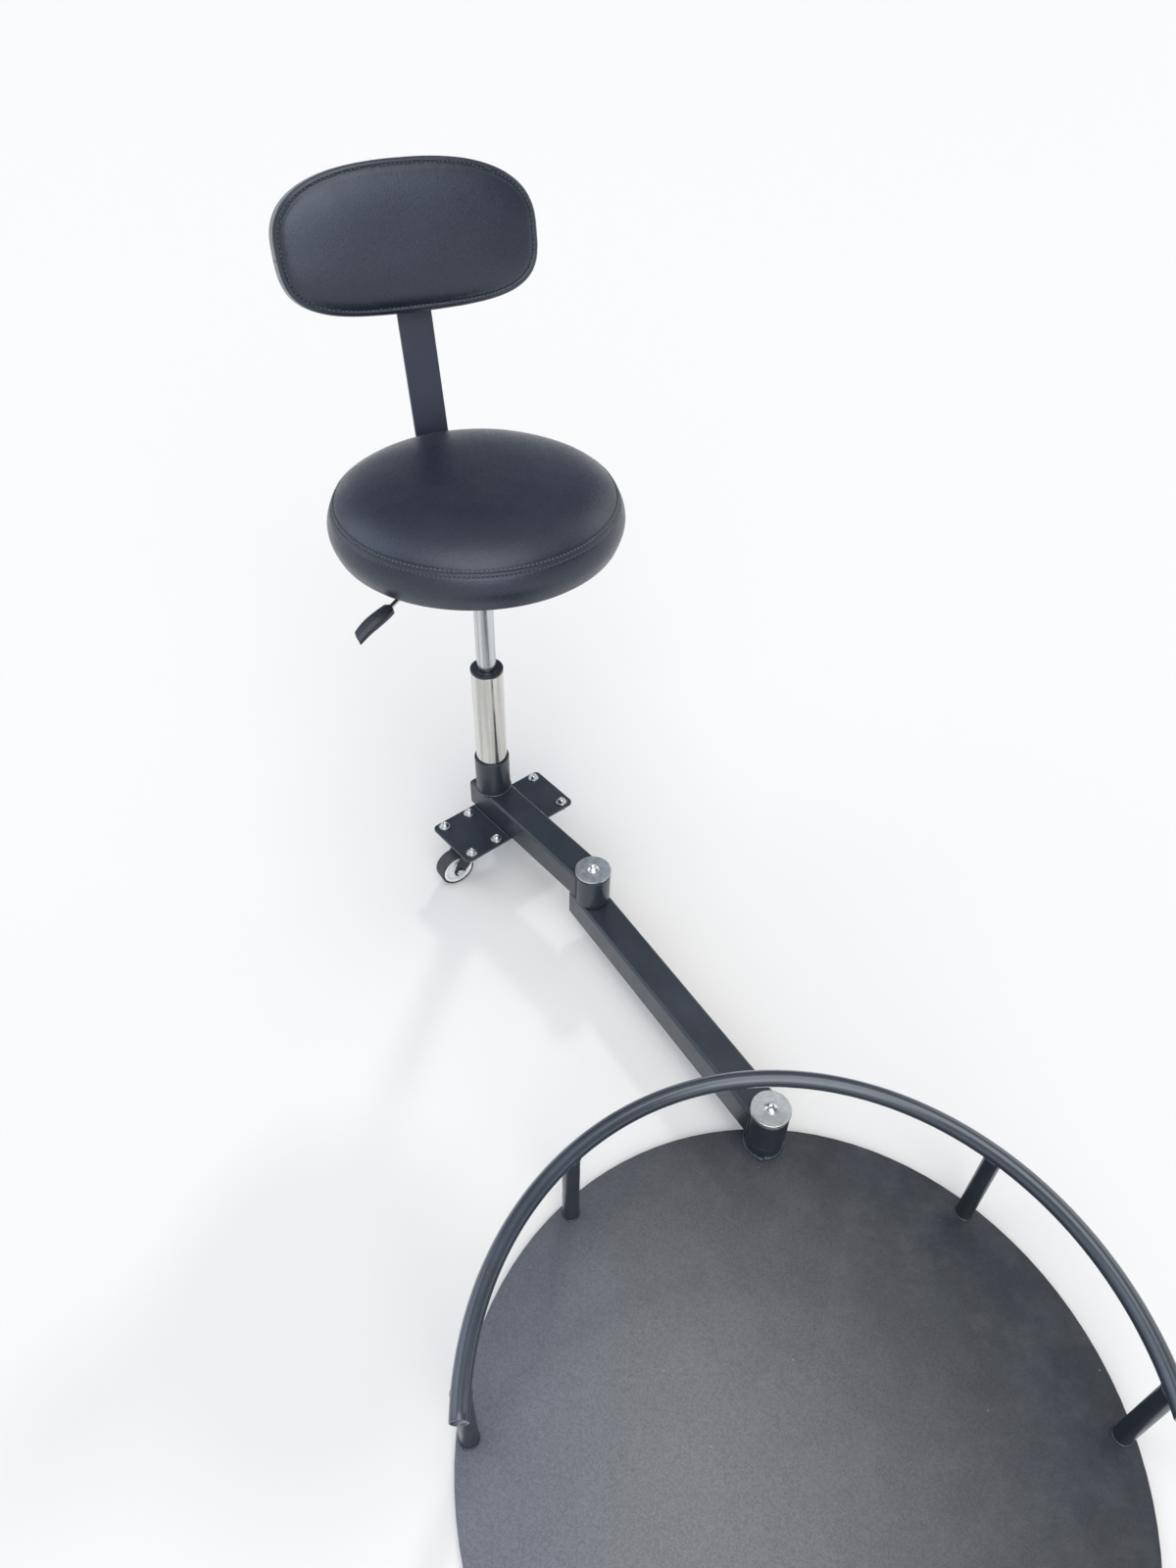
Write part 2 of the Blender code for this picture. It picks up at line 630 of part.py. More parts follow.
def bolt_form():
    """Button-head bolt with its socket and washer above the caster plate and its nut below the flange."""
    nut_top = flange_bottom - GAP
    washer_bottom = caster_plate_top + GAP
    washer_top = washer_bottom + WASHER_THICKNESS
    profile = [(0, nut_top - NUT_HEIGHT), (NUT_DIAMETER / 2, nut_top - NUT_HEIGHT), (NUT_DIAMETER / 2, nut_top),
               (BOLT_DIAMETER / 2, nut_top), (BOLT_DIAMETER / 2, washer_bottom),
               (WASHER_DIAMETER / 2, washer_bottom), (WASHER_DIAMETER / 2, washer_top)]
    radius = BOLT_HEAD_DIAMETER / 2
    socket = BOLT_SOCKET_DIAMETER / 2
    mouth = washer_top + BOLT_HEAD_HEIGHT * math.sqrt(1 - (socket / radius) ** 2)
    recess = [(socket, mouth), (socket, mouth - BOLT_SOCKET_DEPTH), (0, mouth - BOLT_SOCKET_DEPTH)]
    head = dome(radius, washer_top, BOLT_HEAD_HEIGHT, BOLT_DOME_STEPS)[:-1]
    return turned(profile + head + recess, TINY)


def build_upper_arm(axis, finishes):
    """The arm between the elbow and the column, with the column's socket and the caster plate."""
    black = finishes["powder_coat"]
    build_hub("upper_arm", upper_hub_bottom, axis, finishes)
    build_arm_tube("upper_arm", UPPER_ARM_LENGTH + UPPER_ARM_TAIL, upper_tube_bottom, axis, finishes)
    outline = rounded_rectangle(CASTER_PLATE_DEPTH, CASTER_PLATE_WIDTH, CASTER_PLATE_CORNER)
    place = Matrix.Translation((caster_plate_place, 0, 0))
    plate = add_piece("caster_plate", moved(prism(outline, caster_plate_bottom, caster_plate_top), place),
                      black, axis)
    centres = [(caster_plate_place + x, y + side * CASTER_SPACING / 2)
               for side in (1, -1) for x, y in bolt_places()]
    holes = bolt_holes(centres, caster_plate_bottom - GAP, caster_plate_top + GAP)
    shape_with(plate, "DIFFERENCE", "caster_plate_holes", holes)
    for number, (x, y) in enumerate(centres, start=1):
        bolt = add_piece(f"caster_bolt_{number}", bolt_form(), finishes["bright_steel"], axis)
        bolt.location = (x, y, 0)
    build_caster("left_caster", CASTER_SPACING / 2, LEFT_CASTER_HEADING, axis, finishes)
    build_caster("right_caster", -CASTER_SPACING / 2, RIGHT_CASTER_HEADING, axis, finishes)


def build_caster(name, across, heading, arm, finishes):
    """One swivel caster: bolted flange with its race and kingpin, fork, axle and wheel."""
    zinc = finishes["zinc"]
    mount = axis_empty(f"{name}_mount", arm, (caster_plate_place, across, 0))
    outline = rounded_rectangle(FLANGE_DEPTH, FLANGE_WIDTH, FLANGE_CORNER)
    flange = add_piece(f"{name}_flange", prism(outline, flange_bottom, flange_top), zinc, mount)
    holes = bolt_holes(bolt_places(), flange_bottom - GAP, flange_top + GAP)
    shape_with(flange, "DIFFERENCE", f"{name}_flange_holes", holes)
    rivet_top = crown_bottom - GAP
    kingpin = KINGPIN_DIAMETER / 2
    middle = (flange_bottom + flange_top) / 2
    stem = [(0, rivet_top - RIVET_HEIGHT), (RIVET_DIAMETER / 2, rivet_top - RIVET_HEIGHT),
            (RIVET_DIAMETER / 2, rivet_top), (kingpin, rivet_top), (kingpin, race_bottom),
            (RACE_DIAMETER / 2, race_bottom), (RACE_DIAMETER / 2, middle), (0, middle)]
    shape_with(flange, "UNION", f"{name}_race", turned(stem, SMALL))
    swivel = axis_empty(f"{name}_swivel", arm, (caster_plate_place, across, 0), heading)
    build_fork(name, swivel, zinc, finishes["black_plastic"])
    build_wheel(name, swivel, finishes)


def build_fork(name, swivel, zinc, black):
    """The pressed fork with its two legs, and the axle bolt through their eyes."""
    crown_radius = FORK_CROWN_DIAMETER / 2
    crown = sleeve(KINGPIN_DIAMETER / 2 + GAP, crown_radius, crown_bottom, crown_top, SMALL)
    fork = add_piece(f"{name}_fork", crown, black, swivel)
    reach = math.sqrt(crown_radius ** 2 - fork_outside ** 2)
    eye = arc((CASTER_TRAIL, axle_height), FORK_EYE_DIAMETER / 2, FORK_EYE_START, FORK_EYE_STOP,
              2 * CORNER_STEPS)
    leg_top = (crown_bottom + crown_top) / 2
    leg = [(reach, leg_top), (-reach, leg_top)] + eye
    upright = Matrix.Rotation(math.pi / 2, 4, "X")
    legs = combined([prism(leg, low, low + FORK_PLATE_THICKNESS) for low in (fork_inside, -fork_outside)])
    shape_with(fork, "UNION", f"{name}_legs", moved(legs, upright))
    across = Matrix.Translation((CASTER_TRAIL, 0, axle_height)) @ upright
    bore = cylinder(axle_radius + GAP, -2 * fork_outside, 2 * fork_outside, TINY)
    shape_with(fork, "DIFFERENCE", f"{name}_axle_hole", moved(bore, across))
    stop = fork_outside + GAP
    head = AXLE_HEAD_DIAMETER / 2
    end = stop + AXLE_HEAD_HEIGHT
    axle = [(0, -end), (head, -end), (head, -stop), (axle_radius, -stop),
            (axle_radius, stop), (head, stop), (head, end), (0, end)]
    add_piece(f"{name}_axle", moved(turned(axle, TINY), across), zinc, swivel)


def build_wheel(name, swivel, finishes):
    """A caster wheel: moulded hub with a recessed web, and the tyre round it."""
    spin = axis_empty(f"{name}_wheel_axis", swivel, (CASTER_TRAIL, 0, axle_height))
    upright = Matrix.Rotation(math.pi / 2, 4, "X")
    half = TYRE_WIDTH / 2
    rim = axle_height - TYRE_DEPTH - GAP
    rim_inside = rim - WHEEL_RIM_DEPTH
    boss = WHEEL_BOSS_DIAMETER / 2
    web = WHEEL_WEB_THICKNESS / 2
    rim_half = half - WHEEL_RIM_INSET
    boss_half = fork_inside - 2 * GAP
    bore = axle_radius + GAP
    hub = [(bore, -boss_half), (boss, -boss_half), (boss, -web), (rim_inside, -web), (rim_inside, -rim_half),
           (rim, -rim_half), (rim, rim_half), (rim_inside, rim_half), (rim_inside, web), (boss, web),
           (boss, boss_half), (bore, boss_half)]
    hub_form = moved(turned(hub, SMALL, ring=True), upright)
    add_piece(f"{name}_wheel_hub", hub_form, finishes["pale_plastic"], spin)
    bead = rim + GAP
    tyre = [(bead, -half), (axle_height - TYRE_SHOULDER, -half), (axle_height, -half + TYRE_SHOULDER),
            (axle_height, half - TYRE_SHOULDER), (axle_height - TYRE_SHOULDER, half), (bead, half)]
    add_piece(f"{name}_tyre", moved(turned(tyre, MEDIUM, ring=True), upright), finishes["tyre"], spin)


def build_column(seat, finishes):
    """Fixed column on the upper arm: welded socket, tapered outer tube and guide bush."""
    taper_length = SOCKET_HEIGHT - CLIP_ROOM
    slope = COLUMN_TAPER / taper_length
    mouth = column_radius + GAP
    throat = mouth - slope * SOCKET_HEIGHT
    outside = mouth + SOCKET_WALL
    socket = [(throat, socket_bottom), (outside, socket_bottom), (outside, socket_top), (mouth, socket_top)]
    add_piece("column_socket", turned(socket, ROUND, ring=True), finishes["powder_coat"], seat)
    hole = spigot_radius + GAP
    tube = [(hole, column_bottom), (column_radius - COLUMN_TAPER, column_bottom), (column_radius, socket_top),
            (column_radius, column_top), (column_bore, column_top), (column_bore, column_floor),
            (hole, column_floor)]
    add_piece("column_tube", turned(tube, ROUND, ring=True), finishes["chrome"], seat)
    bore = cylinder_radius + GAP
    collar = GUIDE_COLLAR_DIAMETER / 2
    collar_bottom = column_top + GAP
    collar_top = collar_bottom + GUIDE_COLLAR_HEIGHT
    sleeve_radius = column_bore - GAP
    shoulder = arc((collar - GUIDE_COLLAR_ROUND, collar_top - GUIDE_COLLAR_ROUND), GUIDE_COLLAR_ROUND,
                   0, 90, CORNER_STEPS - 1)
    guide = [(bore, column_top - GUIDE_SLEEVE_LENGTH), (sleeve_radius, column_top - GUIDE_SLEEVE_LENGTH),
             (sleeve_radius, collar_bottom), (collar, collar_bottom)] + shoulder + [(bore, collar_top)]
    add_piece("guide_bush", turned(guide, MEDIUM, ring=True), finishes["black_plastic"], seat)


def build_piston(swivel, finishes):
    """Piston rod of the gas lift, held to the column's floor by a bearing above it and a clip below it."""
    steel = finishes["bright_steel"]
    clip_top = column_bottom - GAP
    clip_bottom = clip_top - CLIP_THICKNESS
    groove = spigot_radius - CLIP_GROOVE_DEPTH
    rod = [(0, column_bottom - ROD_END), (spigot_radius, column_bottom - ROD_END),
           (spigot_radius, clip_bottom - GAP), (groove, clip_bottom - GAP), (groove, clip_top + GAP),
           (spigot_radius, clip_top + GAP), (spigot_radius, rod_shoulder), (rod_radius, rod_shoulder),
           (rod_radius, piston_bottom - GAP), (piston_spigot_radius, piston_bottom - GAP),
           (piston_spigot_radius, piston_top + GAP), (rod_radius, piston_top + GAP),
           (rod_radius, piston_top + GAP + CLIP_THICKNESS), (0, piston_top + GAP + CLIP_THICKNESS)]
    add_piece("piston_rod", turned(rod, SMALL), steel, swivel)
    clip = add_piece("retaining_clip", sleeve(groove + GAP, CLIP_DIAMETER / 2, clip_bottom, clip_top, SMALL),
                     steel, swivel)
    slot = prism(rounded_rectangle(CLIP_DIAMETER, CLIP_SLOT, CLIP_SLOT / 4), clip_bottom - GAP, clip_top + GAP)
    slot = moved(slot, Matrix.Translation((CLIP_DIAMETER / 2, 0, 0)))
    shape_with(clip, "DIFFERENCE", "clip_slot", slot)
    bearing = sleeve(spigot_radius + GAP, BEARING_DIAMETER / 2, bearing_bottom, bearing_top, SMALL)
    add_piece("thrust_bearing", bearing, steel, swivel)
    bumper = sleeve(rod_radius + GAP, BUMPER_DIAMETER / 2, bumper_bottom, bumper_top, SMALL)
    add_piece("rubber_bumper", bumper, finishes["tyre"], swivel)
    piston = sleeve(piston_spigot_radius + GAP, cylinder_bore - GAP, piston_bottom, piston_top, MEDIUM)
    add_piece("piston", piston, finishes["nylon"], swivel)


def build_cylinder(lift, finishes):
    """Gas cylinder that carries the seat, and the valve pin in its head."""
    neck = rod_radius + GAP
    valve_hole = VALVE_DIAMETER / 2 + GAP
    body = [(neck, cylinder_bottom), (cylinder_radius, cylinder_bottom), (cylinder_radius, cone_bottom),
            (cylinder_radius - CYLINDER_TAPER, cylinder_top), (valve_hole, cylinder_top),
            (valve_hole, cavity_top), (cylinder_bore, cavity_top),
            (cylinder_bore, cylinder_bottom + CYLINDER_NECK), (neck, cylinder_bottom + CYLINDER_NECK)]
    add_piece("gas_cylinder", turned(body, MEDIUM, ring=True), finishes["chrome"], lift)
    flange_top_height = cavity_top - GAP
    flange_low = flange_top_height - VALVE_FLANGE_HEIGHT
    valve_radius = VALVE_DIAMETER / 2
    valve = [(0, flange_low), (VALVE_FLANGE_DIAMETER / 2, flange_low),
             (VALVE_FLANGE_DIAMETER / 2, flange_top_height), (valve_radius, flange_top_height),
             (valve_radius, valve_top - VALVE_CHAMFER), (valve_radius - VALVE_CHAMFER, valve_top),
             (0, valve_top)]
    add_piece("valve_pin", turned(valve, TINY), finishes["bright_steel"], lift)


def build_bracket(lift, finishes):
    """Pressed seat bracket: square plate, lever channel below it, and the cone tube on the gas cylinder."""
    black = finishes["powder_coat"]
    outline = rounded_rectangle(BRACKET_WIDTH, BRACKET_WIDTH, BRACKET_CORNER)
    bracket = add_piece("seat_bracket", prism(outline, bracket_bottom, bracket_top), black, lift)
    half = CHANNEL_WIDTH / 2
    inside = half - CHANNEL_WALL
    sunk = (bracket_bottom + bracket_top) / 2
    section = [(-half, sunk), (-half, channel_bottom), (half, channel_bottom), (half, sunk), (inside, sunk),
               (inside, web_top), (-inside, web_top), (-inside, sunk)]
    aim = Matrix.Rotation(math.radians(LEVER_ANGLE), 4, "Z")
    lay = aim @ Matrix.Rotation(math.pi / 2, 4, "Z") @ Matrix.Rotation(math.pi / 2, 4, "X")
    channel = moved(prism(section, -CHANNEL_LENGTH / 2, CHANNEL_LENGTH / 2), lay)
    shape_with(bracket, "UNION", "lever_channel", channel)
    slope = CYLINDER_TAPER / (cylinder_top - cone_bottom)
    mouth = cylinder_radius + GAP
    throat = mouth - slope * (web_top - cone_bottom)
    cone_top = (web_top + channel_bottom) / 2
    tube = cylinder(mouth + CONE_TUBE_WALL, cone_bottom, cone_top, MEDIUM)
    shape_with(bracket, "UNION", "cone_tube", tube)
    spare = CHANNEL_WALL
    bore = turned([(0, cone_bottom - spare), (mouth + slope * spare, cone_bottom - spare),
                   (throat - slope * spare, web_top + spare), (0, web_top + spare)], MEDIUM)
    shape_with(bracket, "DIFFERENCE", "cone_bore", bore)
    pivot = Matrix.Translation((LEVER_PIVOT_OFFSET, 0, lever_height))
    across = aim @ pivot @ Matrix.Rotation(math.pi / 2, 4, "X")
    hole = moved(cylinder(lever_pin_radius + GAP, -CHANNEL_WIDTH, CHANNEL_WIDTH, TINY), across)
    shape_with(bracket, "DIFFERENCE", "lever_pin_holes", hole)
    pin_half = half + LEVER_PIN_OVERHANG
    add_piece("lever_pin", moved(cylinder(lever_pin_radius, -pin_half, pin_half, TINY), across),
              finishes["bright_steel"], lift)


def build_lever(lift, finishes):
    """Release lever: bent rod on a pivot barrel, and the moulded paddle on its end."""
    aim = axis_empty("lever_direction", lift, (0, 0, 0), LEVER_ANGLE)
    pivot = axis_empty("lever_axis", aim, (LEVER_PIVOT_OFFSET, 0, lever_height))
    droop = math.radians(LEVER_DROOP)
    bend = LEVER_BEND_RADIUS - LEVER_PIVOT_OFFSET
    socket_end = PADDLE_START + PADDLE_SOCKET_DEPTH - GAP - LEVER_PIVOT_OFFSET
    path = [(-LEVER_PIVOT_OFFSET - LEVER_TIP_OVERLAP, 0), (bend, 0),
            (socket_end, -math.tan(droop) * (socket_end - bend))]
    rod = add_piece("lever_rod", swept(path, circle(lever_rod_radius, TINY)), finishes["bright_steel"], pivot)
    across = Matrix.Rotation(math.pi / 2, 4, "X")
    barrel_half = CHANNEL_WIDTH / 2 - CHANNEL_WALL - LEVER_BARREL_CLEARANCE
    barrel = cylinder(LEVER_BARREL_DIAMETER / 2, -barrel_half, barrel_half, TINY)
    shape_with(rod, "UNION", "lever_barrel", moved(barrel, across))
    bore = cylinder(lever_pin_radius + GAP, -CHANNEL_WIDTH, CHANNEL_WIDTH, TINY)
    shape_with(rod, "DIFFERENCE", "lever_barrel_bore", moved(bore, across))
    start = PADDLE_START - LEVER_PIVOT_OFFSET
    place = Matrix.Translation((start, 0, -math.tan(droop) * (start - bend))) @ Matrix.Rotation(droop, 4, "Y")
    paddle = add_piece("lever_paddle", moved(paddle_form(), place), finishes["black_plastic"], pivot)
    socket_depth = PADDLE_SOCKET_DEPTH / math.cos(droop)
    lay = place @ Matrix.Rotation(math.pi / 2, 4, "Y")
    socket = cylinder(lever_rod_radius + GAP, -PADDLE_SOCKET_DEPTH, socket_depth, TINY)
    shape_with(paddle, "DIFFERENCE", "paddle_socket", moved(socket, lay))


def paddle_section(along):
    """Section of the paddle at a distance from its neck: flat underside, rounded edges and a ridge along the top."""
    neck = PADDLE_NECK_WIDTH / 2
    drawn = PADDLE_NECK_ROUND - min(along, PADDLE_NECK_ROUND)
    belly = math.sin(math.pi / 2 * along / PADDLE_BELLY_PLACE)
    outer = neck + (PADDLE_BELLY_REACH - neck) * belly - drawn
    inner = neck + PADDLE_WAIST_DEPTH * math.sin(math.tau * along / PADDLE_LENGTH) - drawn
    taper = (PADDLE_END_THICKNESS - PADDLE_NECK_THICKNESS) * along / PADDLE_LENGTH
    top = (PADDLE_NECK_THICKNESS + taper) / 2 - drawn / 4
    eaves = top - PADDLE_RIDGE_HEIGHT
    edge = PADDLE_EDGE_ROUND
    return [(inner, edge - top), (inner, eaves - edge), (inner - edge, eaves), (0, top), (edge - outer, eaves),
            (-outer, eaves - edge), (-outer, edge - top), (edge - outer, -top), (inner - edge, -top)]


def paddle_form():
    """Moulded paddle: rounded neck, one bellied edge, a ridge along its top and a slanted end."""
    body = PADDLE_LENGTH - PADDLE_NECK_ROUND
    rings = []
    for along in [0] + [PADDLE_NECK_ROUND + body * step / PADDLE_STEPS for step in range(PADDLE_STEPS + 1)]:
        slant = (along / PADDLE_LENGTH) ** 2
        rings.append([(along + slant * (PADDLE_END_SKEW * side - side * side / (2 * PADDLE_END_RADIUS)), side, up)
                      for side, up in paddle_section(along)])
    return lofted(rings)


def cushion_form():
    """Round seat cushion: drawn-in foot, bulging side, stitched seam groove and a crowned top."""
    seam_radius = seat_radius - CUSHION_SEAM_INSET
    seam_height = cushion_bottom + CUSHION_SEAM_HEIGHT
    side = []
    for step in range(CUSHION_SIDE_STEPS + 1):
        share = step / CUSHION_SIDE_STEPS
        inset = CUSHION_FOOT_INSET * (1 - share) + CUSHION_SEAM_INSET * share
        bulge = math.sin(math.pi * share)
        side.append((seat_radius - inset * (1 - bulge), cushion_bottom + CUSHION_SEAM_HEIGHT * share))
    groove = (seam_radius - CUSHION_SEAM_DEPTH, seam_height + CUSHION_SEAM_DEPTH)
    crown_height = SEAT_HEIGHT - groove[1]
    crown = []
    for step in range(1, CUSHION_CROWN_STEPS):
        angle = math.pi / 2 * step / CUSHION_CROWN_STEPS
        crown.append((groove[0] * math.cos(angle) ** CUSHION_CROWN_FULLNESS,
                      groove[1] + crown_height * math.sin(angle) ** CUSHION_CROWN_FLATNESS))
    recess = [(0, board_top + GAP), (board_radius + GAP, board_top + GAP), (board_radius + GAP, cushion_bottom)]
    return turned(recess + side + [groove] + crown + [(0, SEAT_HEIGHT)], 2 * MEDIUM)


def build_seat(lift, finishes):
    """Seat board and the upholstered cushion that wraps over its rim."""
    board = [(0, board_bottom), (board_radius, board_bottom), (board_radius, board_top), (0, board_top)]
    add_piece("seat_board", turned(board, 2 * MEDIUM), finishes["board"], lift)
    add_piece("seat_cushion", cushion_form(), finishes["leather"], lift)


def back_bar_path():
    """Centre line of the backrest bar, its leaning run and the height where its two runs would meet."""
    lean = math.radians(BACK_BAR_LEAN)
    height = bracket_bottom - GAP - BACK_BAR_THICKNESS / 2
    widest = cushion_bottom + CUSHION_SEAM_HEIGHT / 2
    face = BACK_BAR_THICKNESS / 2 / math.cos(lean)
    corner = seat_radius + BACK_BAR_SEAT_CLEARANCE + face - math.tan(lean) * (widest - height)
    turn = math.pi / 2 - lean
    setback = BACK_BAR_BEND_RADIUS * math.tan(turn / 2)
    aim = math.radians(LEVER_ANGLE)
    slant = abs(math.cos(aim)) * BACK_BAR_WIDTH / 2
    start = (CHANNEL_WIDTH / 2 + BACK_BAR_CHANNEL_CLEARANCE + slant) / math.sin(aim)
    bend = arc((corner - setback, height + BACK_BAR_BEND_RADIUS), BACK_BAR_BEND_RADIUS,
               -90, -90 + math.degrees(turn), 2 * CORNER_STEPS)
    rise = SEAT_HEIGHT + BACK_PAD_RISE - height + BACK_BAR_TOP_REACH * math.cos(lean)
    top = (corner + rise * math.tan(lean), height + rise)
    return [(start, height)] + bend + [top], corner, height


def pad_outline(inset):
    """Outline of the backrest pad, whose lower corners are tighter than its upper ones."""
    width = BACK_PAD_WIDTH - 2 * inset
    height = BACK_PAD_HEIGHT - 2 * inset
    upper = oval(width, height, BACK_PAD_TOP_SQUARENESS, ROUND + CORNER_STEPS)
    lower = oval(width, height, BACK_PAD_BOTTOM_SQUARENESS, ROUND + CORNER_STEPS)
    return [high if high[1] > 0 else low for high, low in zip(upper, lower)]


def pad_form():
    """Oval backrest pad: flat back, rounded boxing band, seam groove and crowned front, facing +Z."""
    band_top = BACK_PAD_THICKNESS - BACK_PAD_CROWN
    levels = [(0, BACK_PAD_ROUND)]
    for step in range(1, PAD_ROUND_STEPS + 1):
        angle = math.pi / 2 * step / PAD_ROUND_STEPS
        levels.append((BACK_PAD_ROUND * (1 - math.cos(angle)), BACK_PAD_ROUND * (1 - math.sin(angle))))
    levels.append((band_top - BACK_PAD_SEAM_INSET, 0))
    levels.append((band_top, BACK_PAD_SEAM_INSET / 2))
    levels.append((band_top - BACK_PAD_SEAM_DEPTH, BACK_PAD_SEAM_INSET))
    half_height = BACK_PAD_HEIGHT / 2
    groove_rise = BACK_PAD_CROWN + BACK_PAD_SEAM_DEPTH
    for step in range(1, PAD_CROWN_STEPS):
        share = step / PAD_CROWN_STEPS
        inset = BACK_PAD_SEAM_INSET + (half_height - BACK_PAD_SEAM_INSET) * share * share
        levels.append((band_top - BACK_PAD_SEAM_DEPTH + groove_rise * math.sin(math.pi / 2 * share), inset))
    return lofted([[(x, y, depth) for x, y in pad_outline(inset)] for depth, inset in levels])


def build_backrest(lift, finishes):
    """Flat steel bar bent up behind the seat, and the oval pad on its leaning run."""
    path, corner, height = back_bar_path()
    half = BACK_BAR_THICKNESS / 2
    outline = [(-BACK_BAR_WIDTH / 2, -half), (BACK_BAR_WIDTH / 2, -half), (BACK_BAR_WIDTH / 2, half),
               (-BACK_BAR_WIDTH / 2, half)]
    add_piece("back_bar", swept(path, outline), finishes["powder_coat"], lift)
    lean = math.radians(BACK_BAR_LEAN)
    rise = SEAT_HEIGHT + BACK_PAD_RISE - height
    pad = add_piece("back_pad", pad_form(), finishes["leather"], lift)
    face = half + GAP
    run = corner + rise * math.tan(lean)
    pad.location = (run - face * math.cos(lean), 0, height + rise + face * math.sin(lean))
    pad.rotation_euler = (math.pi / 2 - lean, 0, -math.pi / 2)


def build_stool():
    """Make the finishes, the joint axes and every piece of the stool."""
    clear_scene()
    finishes = {
        "powder_coat": finish("powder_coat", (0.030, 0.033, 0.038), 0.45, 0.0),
        "plate_coat": finish("plate_coat", (0.055, 0.058, 0.066), 0.50, 0.0),
        "zinc": finish("zinc", (0.60, 0.62, 0.62), 0.35, 1.0),
        "bright_steel": finish("bright_steel", (0.72, 0.72, 0.72), 0.22, 1.0),
        "chrome": finish("chrome", (0.80, 0.79, 0.76), 0.12, 1.0),
        "nylon": finish("nylon", (0.80, 0.79, 0.74), 0.55, 0.0),
        "black_plastic": finish("black_plastic", (0.025, 0.027, 0.030), 0.40, 0.0),
        "pale_plastic": finish("pale_plastic", (0.72, 0.73, 0.74), 0.45, 0.0),
        "tyre": finish("tyre", (0.040, 0.041, 0.044), 0.70, 0.0),
        "leather": finish("leather", (0.028, 0.031, 0.037), 0.50, 0.0),
        "board": finish("board", (0.035, 0.034, 0.033), 0.90, 0.0),
    }
    build_base(finishes)
    lower_arm = axis_empty("lower_arm_axis", None, (0, pivot_radius, 0), LOWER_ARM_ANGLE)
    build_lower_arm(lower_arm, finishes)
    upper_arm = axis_empty("upper_arm_axis", lower_arm, (LOWER_ARM_LENGTH, 0, 0), ELBOW_ANGLE)
    build_upper_arm(upper_arm, finishes)
    column = axis_empty("column_axis", upper_arm, (UPPER_ARM_LENGTH, 0, 0))
    build_column(column, finishes)
    swivel = axis_empty("seat_axis", column, (0, 0, 0), SEAT_BACK_ANGLE - LOWER_ARM_ANGLE - ELBOW_ANGLE)
    build_piston(swivel, finishes)
    build_cylinder(swivel, finishes)
    build_bracket(swivel, finishes)
    build_lever(swivel, finishes)
    build_seat(swivel, finishes)
    build_backrest(swivel, finishes)


build_stool()
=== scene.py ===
"""Tethered swivel stool, finished for rendering.

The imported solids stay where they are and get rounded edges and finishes. The seat cushion, the backrest pad
and the foot rail are modelled again in full, and stitching, weld beads and small fasteners are added.
Lengths are metres, +Z is up, and every piece keeps its place in its mesh.
"""

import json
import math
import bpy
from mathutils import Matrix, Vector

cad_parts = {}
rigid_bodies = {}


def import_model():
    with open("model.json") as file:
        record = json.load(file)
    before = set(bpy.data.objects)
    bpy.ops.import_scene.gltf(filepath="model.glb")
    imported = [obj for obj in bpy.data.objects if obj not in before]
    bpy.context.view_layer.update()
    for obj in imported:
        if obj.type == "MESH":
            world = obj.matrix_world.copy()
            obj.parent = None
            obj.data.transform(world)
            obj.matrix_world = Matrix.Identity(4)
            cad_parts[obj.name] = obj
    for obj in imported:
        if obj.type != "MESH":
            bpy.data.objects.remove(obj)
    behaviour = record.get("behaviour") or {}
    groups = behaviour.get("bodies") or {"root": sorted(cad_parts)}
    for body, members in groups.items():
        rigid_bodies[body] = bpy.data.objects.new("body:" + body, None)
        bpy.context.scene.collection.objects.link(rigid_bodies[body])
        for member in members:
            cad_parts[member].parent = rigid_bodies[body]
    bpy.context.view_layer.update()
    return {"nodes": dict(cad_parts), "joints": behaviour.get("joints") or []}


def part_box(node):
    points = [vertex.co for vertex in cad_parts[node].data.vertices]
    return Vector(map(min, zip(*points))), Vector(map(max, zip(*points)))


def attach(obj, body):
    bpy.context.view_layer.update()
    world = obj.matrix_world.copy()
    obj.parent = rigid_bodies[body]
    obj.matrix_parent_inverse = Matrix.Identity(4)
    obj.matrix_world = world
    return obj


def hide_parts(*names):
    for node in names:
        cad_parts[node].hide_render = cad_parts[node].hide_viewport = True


bl_info = {
    "name": "Tethered Swivel Stool",
    "version": (1, 0, 0),
    "blender": (4, 5, 0),
    "location": "View3D > Sidebar > Stool",
    "description": "Upholstery, finishes, welds and stage for the tethered swivel stool",
    "category": "Object",
}

import bpy
from bpy.props import FloatProperty, FloatVectorProperty, IntProperty, PointerProperty
from mathutils import Matrix, Vector, noise

for leftover in list(bpy.data.objects):
    bpy.data.objects.remove(leftover)
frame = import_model()
joints = {joint["name"]: joint for joint in frame["joints"]}
floor_pivot = Vector(joints["arm_swing"]["pos_m"])
elbow_pivot = Vector(joints["elbow_swing"]["pos_m"])
column_place = Vector(joints["seat_swivel"]["pos_m"])

PHOTO_LONG_SIDE = 1600
SENSOR = 36.0
SEAT_HEADING = math.radians(112.4)
PAD_REACH = 0.25663
PAD_MIDDLE = 0.82518
PAD_LEAN = math.radians(15.5)
# Soft bright patches of the surroundings: their middles and the cosines at which they begin and are full.
LIGHT_PATCHES = {
    "ceiling": ((0.02, 0.08, 0.99), 0.62, 0.92),
    "overhead": ((0.00, -0.14, 0.99), 0.90, 0.94),
    "left": ((-0.78, 0.25, 0.58), 0.87, 0.97),
    "right": ((0.68, 0.58, 0.45), 0.91, 0.97),
    "behind": ((0.12, -0.76, 0.63), 0.83, 0.98),
}
